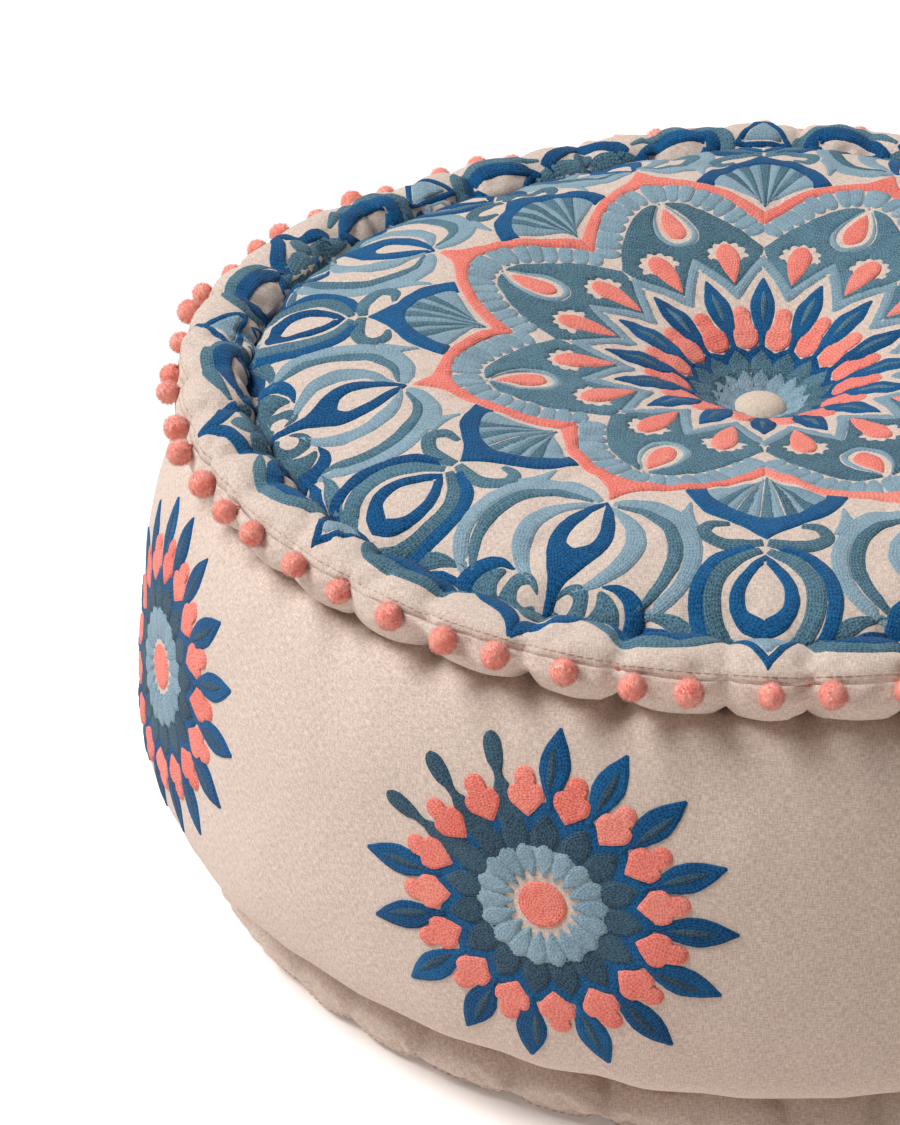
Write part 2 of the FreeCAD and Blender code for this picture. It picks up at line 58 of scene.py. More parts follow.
Piece = bpy.types.Object
Material = bpy.types.Material
TURN = 2 * math.pi
# Millimetres between two points of a drawn outline.
STITCH = 1.2
# Lowest level of the cloth, so that it doesn't lie in the floor.
FLOOR_GAP = 0.2 * MM
log = logging.getLogger("floor_cushion")


# ---------------------------------------------------------------- curves and meshes
def run_of(points: Array) -> Array:
    """Distance along a line to each of its points."""
    return np.concatenate([[0], np.cumsum(np.linalg.norm(np.diff(points, axis=0), axis=1))])


def even(points: Array, count: int) -> Array:
    """The same line with its points evenly spaced."""
    run = run_of(points)
    at = np.linspace(0, run[-1], count)
    return np.stack([np.interp(at, run, points[:, k]) for k in range(points.shape[1])], 1)


def unit(vectors: Array) -> Array:
    """Vectors made one long, along the last axis."""
    return vectors / np.maximum(np.linalg.norm(vectors, axis=-1), 1e-12)[..., None]


def ring_turn(count: int) -> Array:
    """Angles of points evenly spaced round a circle."""
    return np.linspace(0, TURN, count, endpoint=False)


def smooth_path(points: Iterable[Point], step: float = STITCH, closed: bool = False) -> Array:
    """Even points along a smooth curve through a few control points.

    Args:
        points: Control points, each (across, along).
        step: Distance between two points of the result.
        closed: Whether the curve comes back to its first point.

    Returns:
        Points of the curve, one row each. A closed curve doesn't repeat its first point.
    """
    knots = np.array(list(points), float)
    if closed:
        knots = np.vstack([knots[-1], knots, knots[0], knots[1]])
    else:
        knots = np.vstack([2 * knots[0] - knots[1], knots, 2 * knots[-1] - knots[-2]])
    gaps = np.maximum(np.linalg.norm(np.diff(knots, axis=0), axis=1), 1e-6) ** 0.5
    pieces = []
    share = np.linspace(0, 1, 24, endpoint=False)[:, None]
    for i in range(1, len(knots) - 2):
        before, here, after, beyond = knots[i - 1 : i + 3]
        last, gap, following = gaps[i - 1 : i + 2]
        start = (here - before) / last - (after - before) / (last + gap) + (after - here) / gap
        stop = (after - here) / gap - (beyond - here) / (gap + following) + (beyond - after) / following
        start, stop = start * gap, stop * gap
        pieces.append(
            (2 * share**3 - 3 * share**2 + 1) * here
            + (share**3 - 2 * share**2 + share) * start
            + (3 * share**2 - 2 * share**3) * after
            + (share**3 - share**2) * stop
        )
    line = np.vstack([*pieces, knots[-2:-1]])
    line = even(line, max(2, int(round(run_of(line)[-1] / step)) + 1))
    return line[:-1] if closed else line


def straight(points: Iterable[Point], step: float = STITCH) -> Array:
    """Even points along straight runs between corners, the last corner left out."""
    corners = np.array(list(points), float)
    runs = []
    for a, b in zip(corners[:-1], corners[1:]):
        count = max(1, int(round(np.linalg.norm(b - a) / step)))
        runs.append(a + (b - a) * np.linspace(0, 1, count, endpoint=False)[:, None])
    return np.vstack(runs)


def stroke(points: Iterable[Point], widths: Iterable[float], step: float = STITCH) -> Array:
    """Closed outline of a band of changing width along a smooth path.

    Args:
        points: Control points of the middle of the band.
        widths: Full widths, evenly shared out along the path.
        step: Distance between two points of the outline.

    Returns:
        The outline as one closed loop.
    """
    middle = smooth_path(points, step)
    way = np.gradient(middle, axis=0)
    side = unit(np.stack([-way[:, 1], way[:, 0]], 1))
    given = list(widths)
    half = np.interp(np.linspace(0, len(given) - 1, len(middle)), range(len(given)), given)[:, None] / 2
    return np.vstack([middle + side * half, (middle - side * half)[::-1]])


def disc(across: float, along: float, radius: float) -> Array:
    """Circle as a closed loop."""
    turn = ring_turn(max(12, int(TURN * radius / STITCH)))
    return np.stack([across + radius * np.cos(turn), along + radius * np.sin(turn)], 1)


def drop(tip: float, centre: float, radius: float) -> Array:
    """Teardrop on the axis, with its point at tip and its round end about centre."""
    way = 1.0 if tip > centre else -1.0
    reach = abs(tip - centre)
    turn = ring_turn(max(24, int(2.6 * (reach + radius) / STITCH)))
    across = radius * 1.08 * np.sin(turn) * np.sin(turn / 2) ** 0.9
    along = centre + way * ((reach - radius) / 2 + (reach + radius) / 2 * np.cos(turn))
    return np.stack([across, along], 1)


def leaf(
    start: float, end: float, half_width: float, widest: float = 0.5, neck: float = 0.0, sharp: float = 1.15
) -> Array:
    """Pointed leaf on the axis, widest at that share of its length, with a stem of width neck."""
    count = max(8, int(abs(end - start) / STITCH))
    share = np.linspace(0, 1, count)
    bent = share ** (math.log(0.5) / math.log(widest))
    half = half_width * np.sin(math.pi * bent) ** sharp
    half = np.where(share < widest, np.maximum(half, neck / 2), half)
    along = start + (end - start) * share
    left, right = np.stack([-half, along], 1), np.stack([half, along], 1)[::-1]
    return np.vstack([left, right[1:]] if neck else [left[:-1], right[:-1]])


def mirrored(loop: Array) -> Array:
    """The same loop on the other side of the axis."""
    return loop[::-1] * np.array([-1.0, 1.0])


def symmetric(points: Iterable[Point]) -> Array:
    """Closed loop of a smooth half and its mirror image, both ends on the axis."""
    half = smooth_path(points)
    return np.vstack([half, mirrored(half)[1:-1]])


def arch(outer: Iterable[Point], inner: Iterable[Point]) -> Array:
    """Closed band between two halves that come to the axis, with their mirror images."""
    edge, inside = smooth_path(outer), list(inner)
    whole = smooth_path(inside + [(-u, v) for u, v in inside[-2::-1]])
    return np.vstack([edge, mirrored(edge)[1:], whole[::-1]])


def turned(loop: Array, degrees: float) -> Array:
    """Loop of an axis-up drawing turned clockwise about the middle by that angle."""
    a = math.radians(degrees)
    return loop @ np.array([[math.cos(a), -math.sin(a)], [math.sin(a), math.cos(a)]])


def polar_loop(reach: Callable[[Array], Array], longest: float) -> Array:
    """Closed loop round the middle whose radius is a function of the angle in degrees."""
    count = int(TURN * longest / 1.3 / 16) * 16
    turn = np.linspace(0, 360, count, endpoint=False)
    radius = reach(turn)
    return np.stack([radius * np.sin(np.radians(turn)), radius * np.cos(np.radians(turn))], 1)


def off_axis(turn: Array, spacing: float = 22.5) -> Array:
    """Share, from 0 on the nearest axis to 1 half-way between two."""
    return np.abs((turn + spacing / 2) % spacing - spacing / 2) / (spacing / 2)


def link(obj: Piece) -> Piece:
    """Put an object into the scene and return it."""
    bpy.context.scene.collection.objects.link(obj)
    return obj


def mesh_object(name: str, points: Array, faces: Array, uv: Optional[Array] = None) -> Piece:
    """Smooth-shaded mesh piece.

    Args:
        name: Name of the piece.
        points: Vertices in metres.
        faces: Corner indices, three or four to a face.
        uv: One pair of texture coordinates for each corner of each face.

    Returns:
        The linked object.
    """
    mesh = bpy.data.meshes.new(name)
    sides = faces.shape[1]
    mesh.vertices.add(len(points))
    mesh.vertices.foreach_set("co", np.ascontiguousarray(points, np.float32).ravel())
    mesh.loops.add(faces.size)
    mesh.loops.foreach_set("vertex_index", np.ascontiguousarray(faces, np.int32).ravel())
    mesh.polygons.add(len(faces))
    mesh.polygons.foreach_set("loop_start", np.arange(0, faces.size, sides, dtype=np.int32))
    if uv is not None:
        layer = mesh.uv_layers.new(name="cloth")
        layer.uv.foreach_set("vector", np.ascontiguousarray(uv, np.float32).ravel())
    mesh.update(calc_edges=True)
    mesh.validate()
    mesh.shade_smooth()
    return link(bpy.data.objects.new(name, mesh))


def add_attribute(obj: Piece, name: str, values: Array) -> None:
    """Store one number for each vertex, for the piece's material."""
    attribute = obj.data.attributes.new(name, "FLOAT", "POINT")
    attribute.data.foreach_set("value", np.ascontiguousarray(values, np.float32))


# ---------------------------------------------------------------- finishes
def wire(tree: bpy.types.NodeTree, node: Node, inputs: dict[str, object]) -> Node:
    """Set or join a node's inputs and properties.

    Args:
        tree: The tree that the node is in.
        node: The node.
        inputs: A constant or a socket for each property, input name with spaces as underscores, or iN
            for the Nth input.

    Returns:
        The node.
    """
    for key, value in inputs.items():
        if hasattr(node, key):
            setattr(node, key, value)
            continue
        index = int(key[1:]) if key[0] == "i" and key[1:].isdigit() else key.replace("_", " ")
        if isinstance(value, Socket):
            tree.links.new(value, node.inputs[index])
        else:
            node.inputs[index].default_value = value
    return node


@dataclass(frozen=True)
class Graph:
    """A material's node tree, with short ways to add to it."""

    tree: bpy.types.NodeTree

    def add(self, kind: str, **inputs: object) -> Node:
        """Add a node by its type name after "ShaderNode", wired as inputs say."""
        return wire(self.tree, self.tree.nodes.new("ShaderNode" + kind), inputs)

    def maths(self, operation: str, first: object, second: object = 0.0) -> Socket:
        """Result of one arithmetic node."""
        return self.add("Math", operation=operation, i0=first, i1=second).outputs[0]

    def weighted(self, *parts: tuple[object, float]) -> Socket:
        """Sum of values, each times its weight."""
        total, *others = [self.maths("MULTIPLY", value, weight) for value, weight in parts]
        for term in others:
            total = self.maths("ADD", total, term)
        return total

    def noise(self, place: object, scale: float, detail: float, roughness: float = 0.5) -> Socket:
        """Cloudy number from 0 to 1 over a place."""
        node = self.add("TexNoise", Vector=place, Scale=scale, Detail=detail, Roughness=roughness)
        return node.outputs["Fac"]

    def between(self, value: object, low: float, high: float) -> Socket:
        """Share of a value's way from low to high."""
        return self.add("MapRange", Value=value, i1=low, i2=high).outputs[0]

    def blend(self, share: object, dark: Dye, light: Dye) -> Socket:
        """Colour between two dyes."""
        return self.add("Mix", data_type="RGBA", i0=share, i6=linear(*dark), i7=linear(*light)).outputs[2]

    def bump(self, height: object, strength: float, distance: float) -> Socket:
        """Normals of a surface with that relief."""
        return self.add("Bump", Height=height, Strength=strength, Distance=distance).outputs[0]


def linear(red: int, green: int, blue: int) -> tuple[float, float, float, float]:
    """Scene colour of a dyer's red, green and blue from 0 to 255."""
    out = []
    for level in (red, green, blue):
        share = level / 255
        out.append(share / 12.92 if share <= 0.04045 else ((share + 0.055) / 1.055) ** 2.4)
    return (out[0], out[1], out[2], 1.0)


def new_material(name: str) -> tuple[Material, Graph]:
    """Empty material with a Principled shader, and its graph."""
    material = bpy.data.materials.new(name)
    material.use_nodes = True
    return material, Graph(material.node_tree)


def coat(material: Material, **inputs: object) -> Material:
    """Wire a material's shader and return the material."""
    wire(material.node_tree, material.node_tree.nodes["Principled BSDF"], inputs)
    return material


@dataclass(frozen=True)
class LinenFinish:
    """Undyed plain-weave linen, with slubs along both sets of threads."""

    name: str
    light: Dye = (227, 208, 195)
    dark: Dye = (192, 170, 153)
    thread_pitch: float = 0.0008
    slub_stretch: float = 0.18
    roughness: float = 0.9

    def build(self) -> Material:
        """Material that reads the piece's own cloth coordinates, in metres."""
        material, graph = new_material(self.name)
        place = graph.add("TexCoord").outputs["UV"]
        slubs = []
        for stretch in ((self.slub_stretch, 1.0, 1.0), (1.0, self.slub_stretch, 1.0)):
            drawn = graph.add("Mapping", Vector=place, Scale=stretch).outputs[0]
            slubs.append(graph.noise(drawn, 1.5 / self.thread_pitch, 1.5))
        grain = graph.maths("SUBTRACT", graph.maths("ADD", *slubs), 0.5)
        tone = graph.weighted((graph.between(grain, 0.3, 0.7), 0.94), (graph.noise(place, 14.0, 2.0), 0.07))
        cut = graph.add("SeparateXYZ", Vector=place)
        threads = [graph.maths("MULTIPLY", cut.outputs[way], TURN / self.thread_pitch) for way in "XY"]
        weave = graph.maths("MULTIPLY", *(graph.maths("SINE", thread) for thread in threads))
        height = graph.weighted((weave, 0.35), (grain, 1.2))
        return coat(
            material, Base_Color=graph.blend(tone, self.dark, self.light),
            Normal=graph.bump(height, 0.7, 0.0003), Roughness=self.roughness, Sheen_Weight=0.15,
            Specular_IOR_Level=0.2,
        )


@dataclass(frozen=True)
class WoolFinish:
    """Crewel wool worked in small chain stitches, row beside row."""

    name: str
    light: Dye
    dark: Dye
    row_pitch: float = 0.0014
    stitch_pitch: float = 0.0021

    def build(self) -> Material:
        """Material whose rows follow the edge of each motif, with painted shade in the grooves between rows
        and stitches.
        """
        material, graph = new_material(self.name)
        cut = graph.add("SeparateXYZ", Vector=graph.add("TexCoord").outputs["UV"])
        solid = graph.add("TexCoord").outputs["Object"]
        swing = graph.maths("SUBTRACT", graph.noise(solid, 330.0, 2.0), 0.5)
        rows = graph.weighted((cut.outputs["Y"], math.pi / self.row_pitch), (swing, 3.0))
        row = graph.maths("ABSOLUTE", graph.maths("SINE", rows))
        lean = graph.maths("ABSOLUTE", graph.maths("COSINE", rows))
        chain = graph.weighted((cut.outputs["X"], TURN / self.stitch_pitch), (lean, 2.2), (swing, 9.0))
        fuzz = graph.noise(solid, 1300.0, 3.0, 0.65)
        height = graph.weighted((row, 0.32), (graph.maths("SINE", chain), 0.16), (fuzz, 1.5))
        tuft = graph.add("Attribute", attribute_name="tone").outputs["Fac"]
        # Colour follows the stitch relief: painted shade in the grooves between rows and stitches, plus
        # cloudy variation and a random tone for each motif.
        tone = graph.weighted((height, 0.62), (graph.noise(solid, 70.0, 2.0), 0.2), (tuft, 0.14))
        return coat(
            material, Base_Color=graph.blend(graph.between(tone, 0.5, 1.1), self.dark, self.light),
            Normal=graph.bump(height, 0.85, 0.0006), Roughness=0.9, Sheen_Weight=0.08,
            Sheen_Roughness=0.5, Specular_IOR_Level=0.15,
        )


@dataclass(frozen=True)
class FibreFinish:
    """Loose or twisted fibre: pompoms, thread loops, stitches, tape and twine."""

    name: str
    light: Dye
    dark: Dye
    grain: float = 900.0
    depth: float = 0.0008

    def build(self) -> Material:
        """Material mottled on the scale of single fibres."""
        material, graph = new_material(self.name)
        solid = graph.add("TexCoord").outputs["Object"]
        fine = graph.noise(solid, self.grain, 4.0, 0.7)
        tone = graph.weighted((fine, 0.8), (graph.noise(solid, self.grain / 6, 2.0), 0.4))
        return coat(
            material, Base_Color=graph.blend(graph.between(tone, 0.4, 0.8), self.dark, self.light),
            Normal=graph.bump(fine, 0.9, self.depth), Roughness=0.92, Sheen_Weight=0.4,
            Specular_IOR_Level=0.15,
        )


@dataclass(frozen=True)
class SteelFinish:
    """Drawn steel wire and pressed steel of the button's hidden parts."""

    name: str = "button_steel"

    def build(self) -> Material:
        """Material with a brushed grain."""
        material, graph = new_material(self.name)
        grain = graph.noise(graph.add("TexCoord").outputs["Object"], 700.0, 3.0)
        rough = graph.add("MapRange", Value=grain, i3=0.25, i4=0.45).outputs[0]
        colour = graph.blend(grain, (120, 122, 126), (176, 178, 182))
        return coat(material, Base_Color=colour, Roughness=rough, Metallic=1.0)


@dataclass(frozen=True)
class FloorFinish:
    """Pale matt studio floor."""

    name: str = "studio_floor"

    def build(self) -> Material:
        """Material with a faint unevenness."""
        material, graph = new_material(self.name)
        cloud = graph.noise(graph.add("TexCoord").outputs["Object"], 1.5, 2.0)
        return coat(
            material, Base_Color=graph.blend(cloud, (252, 244, 239), (255, 248, 244)), Roughness=0.85,
            Specular_IOR_Level=0.1, Emission_Color=(1.0, 1.0, 1.0, 1.0), Emission_Strength=0.11,
        )


class Thread(Enum):
    """Colours of wool in the embroidery, each with its finish."""

    CORAL = WoolFinish("coral_crewel", (255, 172, 154), (222, 88, 76))
    NAVY = WoolFinish("navy_crewel", (32, 113, 166), (0, 40, 82))
    SLATE = WoolFinish("slate_crewel", (112, 152, 168), (34, 64, 80))
    PALE = WoolFinish("pale_crewel", (164, 188, 198), (104, 132, 148))

    @property
    def word(self) -> str:
        """Plain name of the colour."""
        return self.name.lower()


# ---------------------------------------------------------------- stuffed form
@dataclass(frozen=True)
class Roll:
    """One rolled edge: a ring of stuffed cloth with a round section."""

    ring: float
    level: float
    section: float

    @classmethod
    def around(cls, node: str, skin: float) -> "Roll":
        """Roll whose cloth lies outside a packed filling.

        Args:
            node: CAD node of the filling.
            skin: Distance from the filling to the outside of the cloth.

        Returns:
            The roll.
        """
        low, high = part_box(node)
        section = (high.z - low.z) / 2 + skin
        return cls(high.x + skin - section, (low.z + high.z) / 2, section)

    def at(self, degrees: float) -> Array:
        """Point of the section, as radius and level, by angle up from outward."""
        a = math.radians(degrees)
        return np.array([self.ring + self.section * math.cos(a), self.level + self.section * math.sin(a)])

    def arc(self, first: float, last: float, count: int) -> Array:
        """Evenly spaced points of the section from one angle to another."""
        return np.array([self.at(a) for a in np.linspace(first, last, count)])


def ripple(
    seed: int, theta: Array, arc: Array, waves: tuple[int, int], length: float, modes: int = 14
) -> Array:
    """Smooth unevenness that closes round the cushion, about -1 to 1.

    Args:
        seed: Fixes the draw.
        theta: Angle of each column.
        arc: Distance down the section of each row, in metres.
        waves: Fewest and most waves round the cushion.
        length: Shortest wave down the section, in metres.
        modes: Number of waves added up.

    Returns:
        One value for each row and column.
    """
    draw = np.random.default_rng(seed)
    total = np.zeros((len(arc), len(theta)))
    for _ in range(modes):
        around = draw.integers(waves[0], waves[1] + 1)
        down = draw.uniform(-1, 1) * 2 * math.pi / length
        phase = draw.uniform(0, TURN)
        total += np.cos(around * theta[None, :] + down * arc[:, None] + phase)
    return total / math.sqrt(modes / 2) / 2


@dataclass
class CushionForm:
    """Outside of the stuffed cover as a grid of rows down the section and columns round the axis."""

    columns: int = 672
    skin: float = 1.6 * MM
    rim_radius: float = 11 * MM
    tuft_depth: float = 45.5 * MM
    dome_shares: tuple[Point, ...] = (
        (0.053, 0.037), (0.083, 0.13), (0.129, 0.29), (0.182, 0.468), (0.235, 0.593), (0.341, 0.765),
        (0.521, 0.93), (0.706, 1.0), (0.813, 0.955), (0.908, 0.80), (0.965, 0.62),
    )
    crease_turn: float = 186.0
    seam_turn: float = 25.0
    lower_crease_turn: float = -98.0
    floor_crease_turn: float = -145.0
    side_knots: tuple[Point, ...] = (
        (0.2955, 0.232), (0.3085, 0.206), (0.3185, 0.176), (0.3250, 0.142), (0.3280, 0.108), (0.3265, 0.080),
        (0.3200, 0.056), (0.3075, 0.0425), (0.2955, 0.0380), (0.2860, 0.0385),
    )
    under_dimple: float = 55 * MM
    under_tuft: float = 17 * MM
    crown_lean: tuple[float, float] = (0.015, 0.044)
    dip_turn: float = 128.0
    dip_reach: float = 52.0
    dip_depth: float = 8 * MM
    dip_draw: float = 4 * MM
    squash_turn: float = -112.0
    squash_reach: float = 75.0
    squash_depth: float = 10 * MM
    pinches: int = 42
    pinch_jitter: float = 0.13
    notch_width: float = 4.6 * MM
    groove_depth: float = 5.2 * MM
    groove_reach: float = 7 * MM
    groove_rest: float = 0.8 * MM
    pad_swell: float = 4.6 * MM
    gather_swell: float = 1.6 * MM
    seam_sink: float = 0.4 * MM
    gathers: tuple[tuple[str, float, float], ...] = (
        ("crease", 5.5 * MM, 16 * MM), ("lower_crease", 3.4 * MM, 30 * MM),
        ("low_roll_crease", 6.0 * MM, 26 * MM),
    )
    pads: tuple[tuple[str, str, float], ...] = (
        ("crease", "lower_crease", 2.6 * MM), ("low_roll_crease", "floor_crease", 2.0 * MM),
    )
    top: Roll = field(init=False)
    bottom: Roll = field(init=False)
    pinch_places: Array = field(init=False)
    theta: Array = field(init=False)
    section: Array = field(init=False)
    arc: Array = field(init=False)
    points: Array = field(init=False)
    normals: Array = field(init=False)
    marks: dict[str, int] = field(init=False)

    def __post_init__(self) -> None:
        """Lay out the section, fold it at the stitches and relax it as cloth."""
        self.top = Roll.around("top_roll_fill", self.skin)
        self.bottom = Roll.around("bottom_roll_fill", self.skin)
        self.theta = ring_turn(self.columns)
        self.lay_section()
        self.points = self.folded()
        ClothRelax().apply(self)
        self.find_normals()

    def lay_section(self) -> None:
        """Make the section's rows, from the top tuft to the under tuft, and mark where each part ends."""
        crease = self.top.at(self.crease_turn)
        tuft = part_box("top_panel")[1].z - self.tuft_depth
        knots = [(self.rim_radius, tuft + 0.5 * MM)]
        knots += [(crease[0] * a, tuft + self.tuft_depth * b) for a, b in self.dome_shares]
        knots += [(crease[0], crease[1])]
        dome = even(smooth_path(knots, 1 * MM), 91)
        edge, level = self.bottom.at(self.floor_crease_turn)
        dimple = self.under_dimple
        under = [
            (edge, level), (edge - 5 * MM, 3 * MM), (edge - 16 * MM, 1 * MM), (dimple * 3, 0.6 * MM),
            (dimple * 1.6, 0.8 * MM), (dimple, 2 * MM), (dimple * 0.6, 7 * MM), (dimple * 0.35, 13 * MM),
            (self.rim_radius, self.under_tuft),
        ]
        creases = self.top.at(self.lower_crease_turn), self.bottom.at(-self.lower_crease_turn)
        side = [tuple(creases[0]), *self.side_knots, tuple(creases[1])]
        parts = {
            "crease": dome,
            "seam": self.top.arc(self.crease_turn, self.seam_turn, 21),
            "lower_crease": self.top.arc(self.seam_turn, self.lower_crease_turn, 21),
            "low_roll_crease": even(smooth_path(side, 1 * MM), 81),
            "low_seam": self.bottom.arc(-self.lower_crease_turn, -self.seam_turn, 19),
            "floor_crease": self.bottom.arc(-self.seam_turn, self.floor_crease_turn, 15),
            "under_tuft": even(smooth_path(under, 1 * MM), 47),
        }
        rows = [dome[:1]]
        self.marks = {"tuft": 0}
        for mark, part in parts.items():
            rows.append(part[1:])
            self.marks[mark] = sum(len(r) for r in rows) - 1
        self.section = np.vstack(rows)
        self.arc = run_of(self.section)

    def pinch_fields(self) -> tuple[Array, Array, Array]:
        """Where each column lies between the stitches that gather the rolls.

        Returns:
            Distance in metres to the nearest stitch, share from 0 at a stitch to 1 half-way between two,
            and a steady random number from 0 to 1 for the nearest stitch.
        """
        draw = np.random.default_rng(42)
        step = TURN / self.pinches
        jitter = draw.uniform(-self.pinch_jitter, self.pinch_jitter, self.pinches)
        self.pinch_places = (np.arange(self.pinches) + jitter) * step
        strength = draw.uniform(0, 1, self.pinches)
        gap = np.abs((self.theta[:, None] - self.pinch_places[None, :] + math.pi) % TURN - math.pi)
        away = gap.min(1)
        return away * self.top.ring, np.clip(away / (step / 2), 0, 1), strength[gap.argmin(1)]

    def facing(self, degrees: float, reach: float) -> Array:
        """Share of each column in a soft window of directions, 1 in its middle."""
        off = (self.theta - math.radians(degrees) + math.pi) % TURN - math.pi
        return np.cos(np.clip(off / math.radians(reach), -1, 1) * math.pi / 2) ** 2

    def folded(self) -> Array:
        """Grid points of the form with its gathers, folds and unevenness, before it is relaxed."""
        arc, theta, marks, flat = self.arc, self.theta, self.marks, self.section[:, 0]
        away, between, strength = self.pinch_fields()
        slope = unit(np.gradient(self.section, axis=0))
        out = np.stack([-slope[:, 1], slope[:, 0]], 1)
        push = np.zeros((len(arc), len(theta)))
        belly = np.sin(between * math.pi / 2) ** 0.8
        rows = np.arange(len(arc))
        on_top_roll = (rows > marks["crease"]) & (rows < marks["lower_crease"])
        on_low_roll = (rows > marks["low_roll_crease"]) & (rows < marks["floor_crease"])
        dome = rows <= marks["crease"]
        side = (rows >= marks["lower_crease"]) & (rows <= marks["low_roll_crease"])
        for (mark, depth, length), zone in zip(self.gathers, (dome, side, side)):
            far = np.abs(arc - arc[marks[mark]])[:, None]
            fade = np.exp(-far / (length * (0.6 + 0.8 * strength)[None, :])) * zone[:, None]
            widen = 5.0 * MM + 0.35 * far
            push -= depth * (0.65 + 0.5 * strength)[None, :] * fade * np.exp(-((away[None, :] / widen) ** 2))
            push += self.gather_swell * fade * belly[None, :]
        notch = np.exp(-((away / self.notch_width) ** 2))
        for (*both, swell), zone in zip(self.pads, (on_top_roll, on_low_roll)):
            edge = sum(np.exp(-np.abs(arc - arc[marks[mark]]) / self.groove_reach) for mark in both)
            depth = self.groove_depth * edge + self.groove_rest
            pull = depth[:, None] * (0.55 + 0.75 * strength)[None, :]
            push += zone[:, None] * (swell * (belly - 0.6)[None, :] - pull * notch[None, :])
        under_seam = (rows - marks["seam"]) / (marks["lower_crease"] - marks["seam"])
        lower_face = np.clip(under_seam, 0, 1) * on_top_roll
        push += self.pad_swell * (lower_face**2)[:, None] * (belly - 0.5)[None, :]
        for seam in ("seam", "low_seam"):
            push -= self.seam_sink * np.exp(-((arc - arc[marks[seam]]) / (2.0 * MM)) ** 2)[:, None]
        past = arc - arc[marks["lower_crease"]]
        for share, seed, waves, length, height in (
            (np.exp(-((flat - 30 * MM) / (26 * MM)) ** 2), 5, (7, 15), 0.2, 0.7),
            (np.sin(math.pi * np.clip(past / past[marks["low_roll_crease"]], 0, 1)), 11, (3, 11), 0.35, 1.2),
            (np.clip(1 - flat / self.top.ring, 0, 1) * dome, 17, (2, 8), 0.12, 1.3),
            (dome | side | on_top_roll, 23, (30, 90), 0.03, 0.22),
        ):
            push += share[:, None] * ripple(seed, theta, arc, waves, length) * height * MM
        radius = self.section[:, :1] + out[:, :1] * push
        level = self.section[:, 1:] + out[:, 1:] * push
        share = np.clip((flat - 170 * MM) / (80 * MM), 0, 1) * dome + on_top_roll
        share += side * np.clip(1 - past / (110 * MM), 0, 1)
        window = self.facing(self.dip_turn, self.dip_reach)
        level -= self.dip_depth * share[:, None] * window[None, :]
        radius -= self.dip_draw * share[:, None] * window[None, :]
        share = np.clip((flat - 200 * MM) / (60 * MM), 0, 1) ** 1.5 * dome
        left = (marks["lower_crease"] - rows) / (marks["lower_crease"] - marks["crease"])
        share += on_top_roll * np.clip(left, 0, 1)
        window = self.facing(self.squash_turn, self.squash_reach)
        level -= self.squash_depth * share[:, None] * window[None, :]
        x, y = radius * np.cos(theta), radius * np.sin(theta)
        crown = np.clip((self.top.at(self.crease_turn)[0] - flat) / (78 * MM), 0, 1)
        crown = crown * np.clip(flat / (90 * MM), 0, 1) * dome
        level = level + crown[:, None] * (self.crown_lean[0] * x + self.crown_lean[1] * y)
        return np.stack([x, y, np.maximum(level, FLOOR_GAP)], -1)

    def find_normals(self) -> None:
        """Outward unit normals of the grid."""
        down = np.gradient(self.points, axis=0)
        around = np.roll(self.points, -1, 1) - np.roll(self.points, 1, 1)
        self.normals = unit(np.cross(down, around))

    def sample(self, row: Array, theta: Array, lift: Array) -> Array:
        """Points lifted off the cloth.

        Args:
            row: Place down the section, in rows.
            theta: Angle round the axis.
            lift: Height above the cloth, in metres.

        Returns:
            One point for each of the given places.
        """
        row = np.clip(row, 0, len(self.arc) - 1.001)
        column = (theta % TURN) / TURN * self.columns
        i, j = row.astype(int), column.astype(int)
        a, b = (row - i)[:, None], (column - j)[:, None]
        j, k = j % self.columns, (j + 1) % self.columns

        def mix(grid: Array) -> Array:
            """Value of a grid between its four nearest nodes."""
            here, beside = (grid[i, m] * (1 - a) + grid[i + 1, m] * a for m in (j, k))
            return here * (1 - b) + beside * b

        return mix(self.points) + unit(mix(self.normals)) * lift[:, None]

    def ring(self, row: float, lift: float, turn: Array) -> Array:
        """Lifted points at one row, for some angles."""
        return self.sample(np.full(len(turn), row), turn, np.full(len(turn), lift))

    def on_top(self, x: Array, y: Array, lift: Array) -> Array:
        """Lifted points of the top over places in plan, in metres."""
        rows = np.arange(self.marks["seam"] + 1)
        radius = np.maximum.accumulate(self.section[: len(rows), 0])
        return self.sample(np.interp(np.hypot(x, y), radius, rows), np.arctan2(y, x), lift)

    def side_rows(self) -> slice:
        """Rows of the side, between the two rolls."""
        return slice(self.marks["lower_crease"], self.marks["low_roll_crease"] + 1)

    def on_side(self, theta: Array, rise: Array, level: float, lift: Array) -> Array:
        """Lifted points of the side, by angle and by distance up the cloth from a level."""
        levels, arcs = self.section[self.side_rows(), 1], self.arc[self.side_rows()]
        base = np.interp(-level, -levels, arcs)
        return self.sample(np.interp(base - rise, self.arc, np.arange(len(self.arc))), theta, lift)


